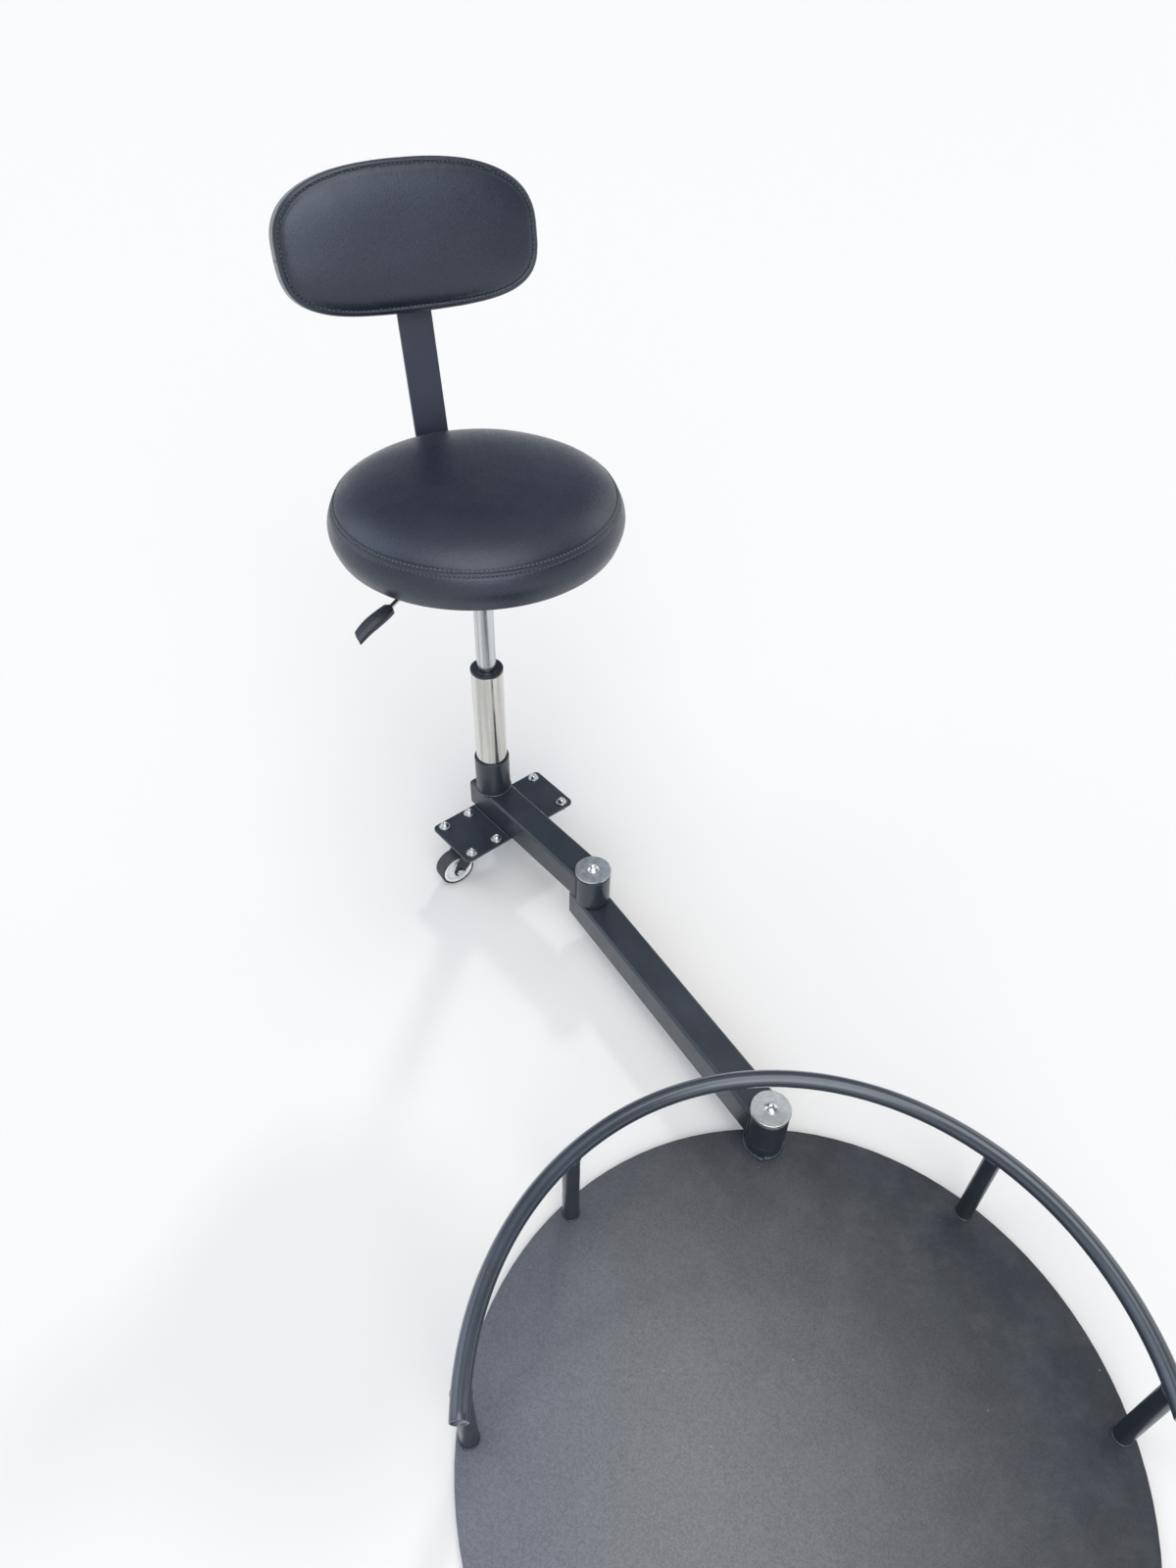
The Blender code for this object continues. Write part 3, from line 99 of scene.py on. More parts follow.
# Side on which the pale horizon reaches higher, and by how much.
OPEN_SIDE = (-0.75, -0.66, 0.0)
OPEN_RISE = 0.32
NEAR_TO_FAR = (0.05, 0.50)
HORIZON_FADE = (0.14, 0.32)
LAMP_SOURCE = (0.17, 0.76, 0.62)
LAMP_COLOUR = (1.0, 0.99, 0.97)
LAMP_SPREAD = math.radians(6.0)
LAMP_REACH = 3.0
FLOOR_RADIUS = 40.0
FLOOR_DROP = 0.0006
# Painted sheen and sky reflection on the plate, lighter near its front left and bluer at its far left: the
# middle, how far from it the tone fades, and the span across.
SHEEN_PLACE = (-0.25, -0.10, 0.0)
SHEEN_REACH = (0.08, 0.60)
SHEEN_SPAN = (-0.34, -0.06)
LOWER_ARM_HEADING = math.radians(122.8)
UPPER_ARM_HEADING = math.radians(130.7)
HUB_RADIUS = 0.0245
BOSS_RADIUS = 0.0240
CROSS_PLATE_MIDDLE = 0.2088
CROSS_PLATE_BEAD = 0.092
BEAD_STEP = 0.0009
BEAD_RIPPLE = 0.0027
BOARD_SCREW_OFFSET = 0.064
BAR_SCREW_PLACES = (0.060, 0.074)
PAD_SCREW_PLACES = (-0.026, 0.026)
SCREW_SINK = 0.0002
SCREW_RADIUS = 0.0058
SCREW_HEIGHT = 0.0034
BAR_THICKNESS = 0.0065
BRACKET_WALL = 0.003
# Form of the seat cover: its sides, its board's inset, its crown's two powers and the spacing of its rings.
SEAT_SIDES = 112
SEAT_FOOT_RISE = 0.0030
SEAT_SIDE_PUFF = 0.0020
SEAT_GATHERS = 0.008
BOARD_INSET = 0.0127
CROWN_REACH = 0.444
CROWN_RISE = 1.35
FINE_STEP = 0.0011
FINE_REACH = 0.0085
STEP_GROWTH = 0.22
WIDEST_STEP = 0.011
# Form of the pad: its sides, its dome's spread and powers, and its line of stitches from its rim and crown.
PAD_SIDES = 128
PAD_RINGS = 15
PAD_RING_SPREAD = 1.6
PAD_DOME_FLATNESS = 4
PAD_DOME_SHOULDER = 0.6
PAD_POLE = 0.015
PAD_BAND_PUFF = 0.0012
PAD_BACK_HELD = 0.0090
PAD_FRONT_DEPTH = 0.02
PAD_SEWN_INSET = 0.0078
PAD_SEWN_DROP = 0.0104
PAD_GATHERS = 0.010
# Form of the seams: the depth and width of each groove, the ridges beside them, gathers and stitches.
GATHER_DEPTH = 0.00022
WAVE_DEPTH = 0.00016
STITCH_SHARE = 0.60
SEAM_DEPTH = 0.0009
SEAM_WIDTH = 0.0008
ROW_DEPTH = 0.0008
ROW_WIDTH = 0.0011
FOLD_HEIGHT = 0.0005
PAD_SEAM_DEPTH = 0.0010
PAD_RIDGE_HEIGHT = 0.0006
PAD_RIDGE_PLACE = 0.0026
HELD_REACH = 0.0012


class StoolUpholstery(bpy.types.PropertyGroup):
    """Sizes and colours of the leather seat and backrest."""

    leather: FloatVectorProperty(name="Leather", description="Colour of the leather", subtype="COLOR",
                                 size=3, min=0, max=1, default=(0.0110, 0.0135, 0.0235))
    # Painted highlight: the thread, black in itself, is coloured grey so that its stitches show as light dots
    # where its shine would be.
    thread: FloatVectorProperty(name="Thread", description="Colour of the stitching", subtype="COLOR",
                                size=3, min=0, max=1, default=(0.090, 0.098, 0.115))
    seat_diameter: FloatProperty(name="Seat diameter", description="Widest part of the seat cushion",
                                 unit="LENGTH", default=0.365)
    seat_top: FloatProperty(name="Seat top", description="Height of the seat's crown above the floor",
                            unit="LENGTH", default=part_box("seat_cushion")[1].z + 0.005)
    seat_bottom: FloatProperty(name="Seat bottom", description="Height of the cushion's lower edge",
                               unit="LENGTH", default=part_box("seat_cushion")[0].z)
    seat_seam: FloatProperty(name="Seat seam",
                             description="Height of the seam above the cushion's lower edge", unit="LENGTH",
                             default=0.047)
    seat_puff: FloatProperty(name="Seat puff", description="How far the padding lifts the top panel",
                             unit="LENGTH", default=0.003)
    pad_width: FloatProperty(name="Pad width", description="Width of the backrest pad", unit="LENGTH",
                             default=0.3245)
    pad_height: FloatProperty(name="Pad height", description="Height of the backrest pad", unit="LENGTH",
                              default=0.1673)
    pad_thickness: FloatProperty(name="Pad thickness",
                                 description="Backrest pad from its back to its crown", unit="LENGTH",
                                 default=0.050)
    pad_top: FloatProperty(name="Pad top squareness", description="2 is an ellipse, more is squarer",
                           default=2.46)
    pad_bottom: FloatProperty(name="Pad bottom squareness", description="2 is an ellipse, more is squarer",
                              default=3.5)
    pad_puff: FloatProperty(name="Pad puff", description="How far the padding lifts the front panel",
                            unit="LENGTH", default=0.0012)
    stitch_pitch: FloatProperty(name="Stitch pitch", description="From one stitch to the next",
                                unit="LENGTH", default=0.0052)
    stitch_row: FloatProperty(name="Stitch row", description="From the seat's seam to each row of stitches",
                              unit="LENGTH", default=0.0044)
    thread_radius: FloatProperty(name="Thread radius", description="Half the thickness of the thread",
                                 unit="LENGTH", default=0.00085)


class StoolMetalwork(bpy.types.PropertyGroup):
    """Sizes and colours of the metal and plastic pieces."""

    coat: FloatVectorProperty(name="Powder coat", description="Colour of the satin coat", subtype="COLOR",
                              size=3, min=0, max=1, default=(0.0150, 0.0195, 0.0270))
    plate: FloatVectorProperty(name="Floor plate", description="Colour of the floor plate", subtype="COLOR",
                               size=3, min=0, max=1, default=(0.029, 0.033, 0.044))
    zinc: FloatVectorProperty(name="Zinc", description="Colour of the zinc plating", subtype="COLOR",
                              size=3, min=0, max=1, default=(0.60, 0.64, 0.66))
    chrome: FloatVectorProperty(name="Chrome", description="Colour of the polished tubes", subtype="COLOR",
                                size=3, min=0, max=1, default=(0.72, 0.71, 0.67))
    cylinder: FloatVectorProperty(name="Gas cylinder", description="Colour of the drawn cylinder",
                                  subtype="COLOR", size=3, min=0, max=1, default=(0.66, 0.685, 0.70))
    edge: FloatProperty(name="Edge rounding", description="Width of the rounded edges", unit="LENGTH",
                        default=0.0007)
    rail_radius: FloatProperty(name="Rail radius", description="Plan radius of the foot rail",
                               unit="LENGTH", default=0.336)
    rail_tube: FloatProperty(name="Rail tube", description="Diameter of the foot rail's tube",
                             unit="LENGTH", default=0.020)
    rail_height: FloatProperty(name="Rail height", description="Height of the foot rail's centre line",
                               unit="LENGTH", default=0.147)
    rail_middle: FloatProperty(name="Rail middle", description="Direction of the rail's middle",
                               subtype="ANGLE", default=math.radians(91.0))
    rail_reach: FloatProperty(name="Rail reach", description="Angle from the rail's middle to each end",
                              subtype="ANGLE", default=math.radians(93.434))
    weld: FloatProperty(name="Weld bead", description="Radius of the weld beads", unit="LENGTH",
                        default=0.0019)


class StoolStage(bpy.types.PropertyGroup):
    """Floor, light and camera."""

    floor: FloatVectorProperty(name="Floor", description="Colour of the floor", subtype="COLOR", size=3,
                               min=0, max=1, default=(0.800, 0.786, 0.762))
    horizon: FloatVectorProperty(name="Horizon", description="Light from the pale surroundings",
                                 subtype="COLOR", size=3, min=0, max=4, default=(0.72, 0.745, 0.78))
    near: FloatVectorProperty(name="Near light", description="Light from the near side above the horizon",
                              subtype="COLOR", size=3, min=0, max=4, default=(0.26, 0.30, 0.37))
    far: FloatVectorProperty(name="Far light", description="Light from the far side above the horizon",
                             subtype="COLOR", size=3, min=0, max=4, default=(0.18, 0.21, 0.285))
    ceiling: FloatVectorProperty(name="Ceiling", description="Light from the wide patch overhead",
                                 subtype="COLOR", size=3, min=0, max=4, default=(0.50, 0.52, 0.55))
    overhead: FloatVectorProperty(name="Overhead light", description="Light from the small patch overhead",
                                  subtype="COLOR", size=3, min=0, max=4, default=(2.35, 2.30, 2.24))
    left: FloatVectorProperty(name="Left light", description="Light from the patch on the left",
                              subtype="COLOR", size=3, min=0, max=4, default=(1.35, 1.48, 1.75))
    right: FloatVectorProperty(name="Right light", description="Light from the patch on the right",
                               subtype="COLOR", size=3, min=0, max=4, default=(1.35, 1.34, 1.30))
    behind: FloatVectorProperty(name="Light behind", description="Light from the patch behind the camera",
                                subtype="COLOR", size=3, min=0, max=4, default=(2.80, 2.91, 3.08))
    lamp: FloatProperty(name="Lamp", description="Strength of the soft lamp on the far side", default=0.60)
    camera_place: FloatVectorProperty(name="Camera place", description="Where the camera stands",
                                      subtype="TRANSLATION", size=3, default=(-0.23396, -0.34035, 1.2511))
    camera_turn: FloatVectorProperty(name="Camera turn", description="Tilt, roll and heading of the camera",
                                     subtype="EULER", size=3,
                                     default=(math.radians(46.59), math.radians(1.37), math.radians(-0.48)))
    focal_pixels: IntProperty(name="Focal length", description="Focal length on a 1600 pixel high picture",
                              default=1102)


# Modelling helpers


def select_only(piece=None):
    """Leave edit mode and select one piece or nothing, so that an operator acts on nothing else."""
    if bpy.context.mode != "OBJECT":
        bpy.ops.object.mode_set(mode="OBJECT")
    bpy.ops.object.select_all(action="DESELECT")
    if piece:
        piece.select_set(True)
        bpy.context.view_layer.objects.active = piece


def named(name):
    """Give the piece that was just added its name."""
    piece = bpy.context.active_object
    piece.name = name
    piece.data.name = name
    return piece


def put(piece, matrix):
    """Move a piece and keep its place in its mesh."""
    select_only(piece)
    piece.matrix_world = matrix
    bpy.ops.object.transform_apply(location=True, rotation=True, scale=True)
    return piece


def close_form(piece):
    """Merge doubled points and turn every face outwards."""
    select_only(piece)
    bpy.ops.object.mode_set(mode="EDIT")
    bpy.ops.mesh.select_all(action="SELECT")
    bpy.ops.mesh.remove_doubles(threshold=0.000001)
    bpy.ops.mesh.normals_make_consistent(inside=False)
    bpy.ops.object.mode_set(mode="OBJECT")


def stacked(name, outline, levels, pole=False, ring=False):
    """Extrude an outline through (x size, y size, height) levels, scaled at each one, and close it."""
    select_only()
    bpy.ops.mesh.primitive_circle_add(vertices=len(outline), radius=1.0, location=(0, 0, 0))
    piece = named(name)
    wide, deep, height = levels[0]
    for vertex, (x, y) in zip(piece.data.vertices, outline):
        vertex.co = (x * wide, y * deep, height)
    bpy.ops.object.mode_set(mode="EDIT")
    bpy.ops.mesh.select_mode(type="VERT")
    bpy.ops.mesh.select_all(action="SELECT")
    for before, after in zip(levels, levels[1:]):
        bpy.ops.mesh.extrude_region_move(TRANSFORM_OT_translate={"value": (0, 0, after[2] - before[2])})
        bpy.ops.transform.resize(value=(after[0] / before[0], after[1] / before[1], 1),
                                 center_override=(0, 0, after[2]))
    if pole:
        bpy.ops.mesh.merge(type="CENTER")
    bpy.ops.mesh.select_all(action="DESELECT")
    bpy.ops.mesh.select_non_manifold()
    if ring:
        bpy.ops.mesh.bridge_edge_loops()
    else:
        bpy.ops.mesh.fill_holes(sides=0)
    close_form(piece)
    return piece


def circle(count):
    """Outline of a circle of radius 1."""
    return [(math.cos(math.tau * step / count), math.sin(math.tau * step / count)) for step in range(count)]


def even_oval(width, height, top, bottom, count):
    """Outline between an ellipse and a rectangle with its own squareness above and below, evenly spaced."""
    fine = count * 16
    dense = []
    for step in range(fine + 1):
        angle = math.tau * step / fine
        across, up = math.cos(angle), math.sin(angle)
        power = 2 / (top if up > 0 else bottom)
        dense.append(Vector((math.copysign(abs(across) ** power, across) * width / 2,
                             math.copysign(abs(up) ** power, up) * height / 2)))
    return [tuple(point) for point in even_points(dense, count)]


def even_points(points, count):
    """Spread a number of points evenly along a closed line whose last point repeats its first."""
    reach = [0.0]
    for before, after in zip(points, points[1:]):
        reach.append(reach[-1] + (after - before).length)
    spread = []
    index = 0
    for step in range(count):
        goal = reach[-1] * step / count
        while reach[index + 1] < goal:
            index += 1
        share = (goal - reach[index]) / (reach[index + 1] - reach[index])
        spread.append(points[index].lerp(points[index + 1], share))
    return spread


def modify(piece, kind, **settings):
    """Add a modifier, set it and apply it."""
    select_only(piece)
    modifier = piece.modifiers.new(kind.lower(), kind)
    for setting, value in settings.items():
        setattr(modifier, setting, value)
    bpy.ops.object.modifier_apply(modifier=modifier.name)


def smooth(piece, angle=math.radians(35)):
    """Smooth shading, with edges sharper than the angle kept."""
    select_only(piece)
    bpy.ops.object.shade_smooth_by_angle(angle=angle)


def wear(piece, finish, body):
    """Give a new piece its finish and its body."""
    piece.data.materials.clear()
    piece.data.materials.append(bpy.data.materials[finish])
    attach(piece, body)
    return piece


def copies(name, pattern, places):
    """One piece from many placed copies of a pattern's mesh; the pattern is removed."""
    points = [vertex.co.copy() for vertex in pattern.data.vertices]
    faces = [tuple(polygon.vertices) for polygon in pattern.data.polygons]
    all_points = []
    all_faces = []
    for matrix in places:
        base = len(all_points)
        all_points += [matrix @ point for point in points]
        all_faces += [tuple(base + corner for corner in face) for face in faces]
    mesh = bpy.data.meshes.new(name)
    mesh.from_pydata(all_points, [], all_faces)
    mesh.update()
    piece = bpy.data.objects.new(name, mesh)
    bpy.context.scene.collection.objects.link(piece)
    bpy.data.objects.remove(pattern)
    return piece


def aimed(place, along, up):
    """Matrix with X along a direction and Z close to another."""
    first = along.normalized()
    second = up.cross(first).normalized()
    third = first.cross(second)
    matrix = Matrix((first, second, third)).transposed().to_4x4()
    matrix.translation = place
    return matrix


def seat_frame():
    """Frame of the seat at rest, with X towards the backrest."""
    return Matrix.Translation((column_place.x, column_place.y, 0)) @ Matrix.Rotation(SEAT_HEADING, 4, "Z")


def pad_frame():
    """Frame of the backrest pad: X across, Y up the pad, Z out of its front, from its back's middle."""
    place = Matrix.Translation((PAD_REACH, 0, PAD_MIDDLE))
    turn = Matrix.Rotation(-math.pi / 2, 4, "Z") @ Matrix.Rotation(math.pi / 2 - PAD_LEAN, 4, "X")
    return seat_frame() @ place @ turn


# Finishes


class NodeSheet:
    """Adds and joins nodes in one node tree."""

    def __init__(self, tree):
        self.tree = tree

    def feed(self, socket, value):
        if isinstance(value, bpy.types.NodeSocket):
            self.tree.links.new(value, socket)
        else:
            socket.default_value = value

    def add(self, kind, settings=None, **inputs):
        node = self.tree.nodes.new(kind)
        for setting, value in (settings or {}).items():
            setattr(node, setting, value)
        for label, value in inputs.items():
            self.feed(node.inputs[label.replace("_", " ")], value)
        return node

    def math(self, operation, first, second=0.0):
        node = self.add("ShaderNodeMath", {"operation": operation})
        self.feed(node.inputs[0], first)
        self.feed(node.inputs[1], second)
        return node.outputs[0]

    def ramp(self, value, low, high, to_low=0.0, to_high=1.0):
        node = self.add("ShaderNodeMapRange", {"interpolation_type": "SMOOTHSTEP"}, Value=value,
                        From_Min=low, From_Max=high, To_Min=to_low, To_Max=to_high)
        return node.outputs[0]

    def tint(self, share, first, second, mode="MIX"):
        node = self.add("ShaderNodeMix", {"data_type": "RGBA", "blend_type": mode})
        self.feed(node.inputs[0], share)
        self.feed(node.inputs[6], first)
        self.feed(node.inputs[7], second)
        return node.outputs[2]

    def nearness(self, way, middle):
        node = self.add("ShaderNodeVectorMath", {"operation": "DOT_PRODUCT"})
        self.feed(node.inputs[0], way)
        self.feed(node.inputs[1], Vector(middle).normalized())
        return node.outputs["Value"]

    def noise(self, scale, detail, roughness=0.5, place=None):
        spot = self.place() if place is None else place
        node = self.add("ShaderNodeTexNoise", Vector=spot, Scale=scale, Detail=detail, Roughness=roughness)
        return node.outputs[0]

    def cloudy(self, size, low=0.0, high=1.0):
        return self.use("Cloudy Tone", Size=size, Low=low, High=high)["Value"]

    def lay(self, base, mask, share, colour):
        return self.tint(self.math("MULTIPLY", mask, share), base, colour)

    def place(self, stretch=None):
        spot = self.add("ShaderNodeTexCoord").outputs["Object"]
        if stretch is None:
            return spot
        return self.add("ShaderNodeMapping", Vector=spot, Scale=stretch).outputs[0]

    def use(self, group, **inputs):
        node = self.add("ShaderNodeGroup", {"node_tree": bpy.data.node_groups[group]})
        for label, value in inputs.items():
            self.feed(node.inputs[label.replace("_", " ")], value)
        return node.outputs


def new_group(name, inputs, outputs):
    """An empty shader node group with named number inputs and outputs."""
    tree = bpy.data.node_groups.new(name, "ShaderNodeTree")
    for label, value in inputs.items():
        socket = tree.interface.new_socket(label, in_out="INPUT", socket_type="NodeSocketFloat")
        socket.default_value = value
    for label in outputs:
        tree.interface.new_socket(label, in_out="OUTPUT", socket_type="NodeSocketFloat")
    sheet = NodeSheet(tree)
    return sheet, sheet.add("NodeGroupInput").outputs, sheet.add("NodeGroupOutput").inputs


def make_groups():
    """Surface effects that several finishes share."""
    sheet, given, result = new_group("Cloudy Tone", {"Size": 0.05, "Low": 0.0, "High": 1.0}, ["Value"])
    clouds = sheet.noise(sheet.math("DIVIDE", 1.0, given["Size"]), detail=5.0, roughness=0.6)
    sheet.feed(result["Value"], sheet.ramp(clouds, 0.3, 0.7, given["Low"], given["High"]))

    sheet, given, result = new_group("Pebble Grain", {"Size": 0.0014, "Crease": 0.3}, ["Height", "Valley"])
    bend = sheet.add("ShaderNodeTexNoise", Vector=sheet.place(), Scale=260.0, Detail=2.0)
    spot = sheet.add("ShaderNodeMix", {"data_type": "VECTOR"})
    spot.inputs[0].default_value = 0.0022
    sheet.feed(spot.inputs[4], sheet.place())
    sheet.feed(spot.inputs[5], bend.outputs[1])
    cells = sheet.add("ShaderNodeTexVoronoi", {"feature": "DISTANCE_TO_EDGE"}, Vector=spot.outputs[1],
                      Scale=sheet.math("DIVIDE", 1.0, given["Size"]))
    pebble = sheet.ramp(cells.outputs[0], 0.0, 0.34)
    fold = sheet.math("MULTIPLY", sheet.noise(85.0, detail=6.0, roughness=0.62), given["Crease"])
    sheet.feed(result["Height"], sheet.math("ADD", pebble, fold))
    sheet.feed(result["Valley"], sheet.ramp(cells.outputs[0], 0.0, 0.12, 1.0, 0.0))

    sheet, given, result = new_group("Fine Specks", {"Spacing": 0.004, "Share": 0.1}, ["Mask"])
    cells = sheet.add("ShaderNodeTexVoronoi", Vector=sheet.place(),
                      Scale=sheet.math("DIVIDE", 1.0, given["Spacing"]))
    chance = sheet.add("ShaderNodeSeparateColor", Color=cells.outputs["Color"]).outputs[0]
    chosen = sheet.math("LESS_THAN", chance, given["Share"])
    dot = sheet.ramp(cells.outputs[0], 0.10, 0.24, 1.0, 0.0)
    sheet.feed(result["Mask"], sheet.math("MULTIPLY", chosen, dot))

    sheet, given, result = new_group("Fine Scuffs", {"Share": 0.5, "Stretch": 14.0}, ["Mask"])
    flat = sheet.add("ShaderNodeMapping", {"vector_type": "POINT"}, Vector=sheet.place())
    flat.inputs["Rotation"].default_value = (0.0, 0.0, 0.35)
    narrow = sheet.math("MULTIPLY", given["Stretch"], 7.0)
    drawn_out = sheet.add("ShaderNodeCombineXYZ", X=7.0, Y=narrow, Z=narrow)
    sheet.feed(flat.inputs["Scale"], drawn_out.outputs[0])
    marks = sheet.noise(1.0, detail=3.0, roughness=0.55, place=flat.outputs[0])
    lines = sheet.ramp(marks, sheet.math("SUBTRACT", 1.0, given["Share"]), 0.86)
    area = sheet.ramp(sheet.noise(9.0, detail=2.0), 0.45, 0.65)
    sheet.feed(result["Mask"], sheet.math("MULTIPLY", lines, area))

    sheet, given, result = new_group("Settled Dust", {"Amount": 0.5}, ["Mask"])
    facing = sheet.add("ShaderNodeSeparateXYZ", Vector=sheet.add("ShaderNodeNewGeometry").outputs["Normal"])
    level = sheet.ramp(facing.outputs[2], 0.55, 0.98)
    drift = sheet.ramp(sheet.noise(22.0, detail=7.0, roughness=0.7), 0.38, 0.78)
    dust = sheet.math("MULTIPLY", level, drift)
    sheet.feed(result["Mask"], sheet.math("MULTIPLY", dust, given["Amount"]))

    # Patchy mask along the edges; on bare metal it lightens them as a painted highlight.
    sheet, given, result = new_group("Patchy Edge", {"Width": 0.0012, "Amount": 1.0}, ["Mask"])
    soft = sheet.add("ShaderNodeBevel", {"samples": 4}, Radius=given["Width"])
    real = sheet.add("ShaderNodeNewGeometry").outputs["Normal"]
    turn = sheet.add("ShaderNodeVectorMath", {"operation": "DOT_PRODUCT"})
    sheet.feed(turn.inputs[0], soft.outputs[0])
    sheet.feed(turn.inputs[1], real)
    edge = sheet.ramp(turn.outputs["Value"], 0.80, 0.985, 1.0, 0.0)
    patch = sheet.ramp(sheet.noise(70.0, detail=5.0, roughness=0.65), 0.35, 0.65)
    broken = sheet.math("MULTIPLY", edge, patch)
    sheet.feed(result["Mask"], sheet.math("MULTIPLY", broken, given["Amount"]))


def new_finish(name, colour, **constants):
    """A material with its shader; numbers that are the same all over are set on the shader."""
    material = bpy.data.materials.new(name)
    material.use_nodes = True
    material.diffuse_color = (*colour, 1.0)
    shader = material.node_tree.nodes["Principled BSDF"]
    shader.inputs["Base Color"].default_value = (*colour, 1.0)
    for label, value in constants.items():
        shader.inputs[label.replace("_", " ")].default_value = value
    return NodeSheet(material.node_tree), shader


def shade(colour, factor):
    """A colour made lighter or darker, with full opacity."""
    return tuple(min(1.0, channel * factor) for channel in colour) + (1.0,)


def bump(sheet, shader, height, distance, strength=1.0, rounding=0.0):
    """Let a height show in a shader's normal, over edges that look rounded."""
    node = sheet.add("ShaderNodeBump", Height=height, Distance=distance, Strength=strength)
    if rounding:
        soft = sheet.add("ShaderNodeBevel", {"samples": 6}, Radius=rounding)
        sheet.feed(node.inputs["Normal"], soft.outputs[0])
    sheet.feed(shader.inputs["Normal"], node.outputs[0])


def make_leather(colour):
    """Grained leather with a soft shine, painted shade in its seams, and faintly scuffed where it lies level.
    """
    sheet, shader = new_finish("charcoal leather", colour, Specular_IOR_Level=0.80,
                               Specular_Tint=(0.80, 0.88, 1.0, 1.0))
    grain = sheet.use("Pebble Grain", Size=0.0020, Crease=0.45)
    base = sheet.tint(sheet.cloudy(0.11), shade(colour, 0.92), shade(colour, 1.10))
    base = sheet.lay(base, grain["Valley"], 0.35, shade(colour, 0.4))
    level = sheet.use("Settled Dust", Amount=1.0)["Mask"]
    scuffs = sheet.math("MULTIPLY", sheet.use("Fine Scuffs", Share=0.40, Stretch=24.0)["Mask"], level)
    base = sheet.lay(base, scuffs, 0.35, (0.16, 0.17, 0.19, 1.0))
    base = sheet.lay(base, level, 0.03, (0.20, 0.20, 0.21, 1.0))
    # Painted shade: the leather darkens along its seams and under its stitches.
    seam = sheet.add("ShaderNodeAttribute", {"attribute_name": "seam"}).outputs["Fac"]
    base = sheet.lay(base, seam, 0.8, shade(colour, 0.25))
    sheet.feed(shader.inputs["Base Color"], base)
    dull = sheet.math("MULTIPLY", grain["Valley"], 0.15)
    sheet.feed(shader.inputs["Roughness"], sheet.math("ADD", sheet.cloudy(0.035, 0.23, 0.29), dull))
    bump(sheet, shader, grain["Height"], distance=0.00017, strength=0.42)


def make_coat(name, colour, peel, edge, dust_amount, gloss, rounding=0.0, shine=0.15):
    """Powder coat: slight orange peel, uneven gloss, dust on top and worn edges."""
    sheet, shader = new_finish(name, colour, Specular_IOR_Level=0.75, Specular_Tint=(0.84, 0.92, 1.0, 1.0),
                               Coat_Weight=shine, Coat_Roughness=0.14)
    base = sheet.tint(sheet.cloudy(0.06), shade(colour, 0.85), shade(colour, 1.20))
    specks = sheet.use("Fine Specks", Spacing=0.0035, Share=0.004)["Mask"]
    base = sheet.lay(base, specks, 0.35, (0.22, 0.23, 0.24, 1.0))
    dust = sheet.use("Settled Dust", Amount=dust_amount)["Mask"]
    base = sheet.tint(dust, base, (0.20, 0.205, 0.21, 1.0))
    patchy = sheet.use("Patchy Edge", Width=0.0014, Amount=edge)["Mask"]
    base = sheet.tint(patchy, base, (0.17, 0.175, 0.18, 1.0))
    sheet.feed(shader.inputs["Base Color"], base)
    polish = sheet.math("MULTIPLY", patchy, 0.12)
    sheet.feed(shader.inputs["Roughness"], sheet.math("SUBTRACT", sheet.cloudy(0.02, *gloss), polish))
    bump(sheet, shader, sheet.noise(1.0 / peel, detail=2.0), peel * 0.05, 0.5, rounding)


def make_plate_coat(colour):
    """Textured coat of the floor plate: fine speckle, a painted sheen and sky reflection that are lighter
    towards its near left and bluer at its far left, dust and light scratches.
    """
    sheet, shader = new_finish("textured plate coat", colour, Specular_IOR_Level=0.5)
    grain = sheet.noise(560.0, detail=2.0, roughness=0.7)
    base = sheet.tint(sheet.cloudy(0.16), shade(colour, 0.88), shade(colour, 1.12))
    # Painted sheen: lighter towards the plate's near left, and bluer at its far left as a painted sky
    # reflection.
    reach = sheet.add("ShaderNodeVectorMath", {"operation": "DISTANCE"})
    sheet.feed(reach.inputs[0], sheet.place())
    sheet.feed(reach.inputs[1], SHEEN_PLACE)
    across = sheet.add("ShaderNodeSeparateXYZ", Vector=sheet.place()).outputs[0]
    painted_sheen = sheet.tint(sheet.ramp(across, *SHEEN_SPAN), (0.150, 0.160, 0.192, 1.0), (0.196, 0.196, 0.202, 1.0))
    base = sheet.tint(sheet.ramp(reach.outputs["Value"], *SHEEN_REACH, 1.0, 0.0), base, painted_sheen)
    speckle = sheet.ramp(grain, 0.28, 0.72, 0.62, 1.0)
    grey = sheet.add("ShaderNodeCombineColor", Red=speckle, Green=speckle, Blue=speckle)
    base = sheet.tint(1.0, base, grey.outputs[0], "MULTIPLY")
    specks = sheet.use("Fine Specks", Spacing=0.0045, Share=0.003)["Mask"]
    base = sheet.lay(base, specks, 0.5, (0.42, 0.42, 0.41, 1.0))
    scuffs = sheet.use("Fine Scuffs", Share=0.36, Stretch=24.0)["Mask"]
    base = sheet.lay(base, scuffs, 0.12, (0.25, 0.25, 0.26, 1.0))
    dust = sheet.use("Settled Dust", Amount=0.12)["Mask"]
    base = sheet.tint(dust, base, (0.235, 0.240, 0.250, 1.0))
    patchy = sheet.use("Patchy Edge", Width=0.0016, Amount=0.8)["Mask"]
    base = sheet.tint(patchy, base, (0.22, 0.22, 0.22, 1.0))
    sheet.feed(shader.inputs["Base Color"], base)
    dull = sheet.math("MULTIPLY", dust, 0.4)
    sheet.feed(shader.inputs["Roughness"], sheet.math("ADD", sheet.cloudy(0.08, 0.36, 0.46), dull))
    bump(sheet, shader, grain, distance=0.00006, strength=0.4)


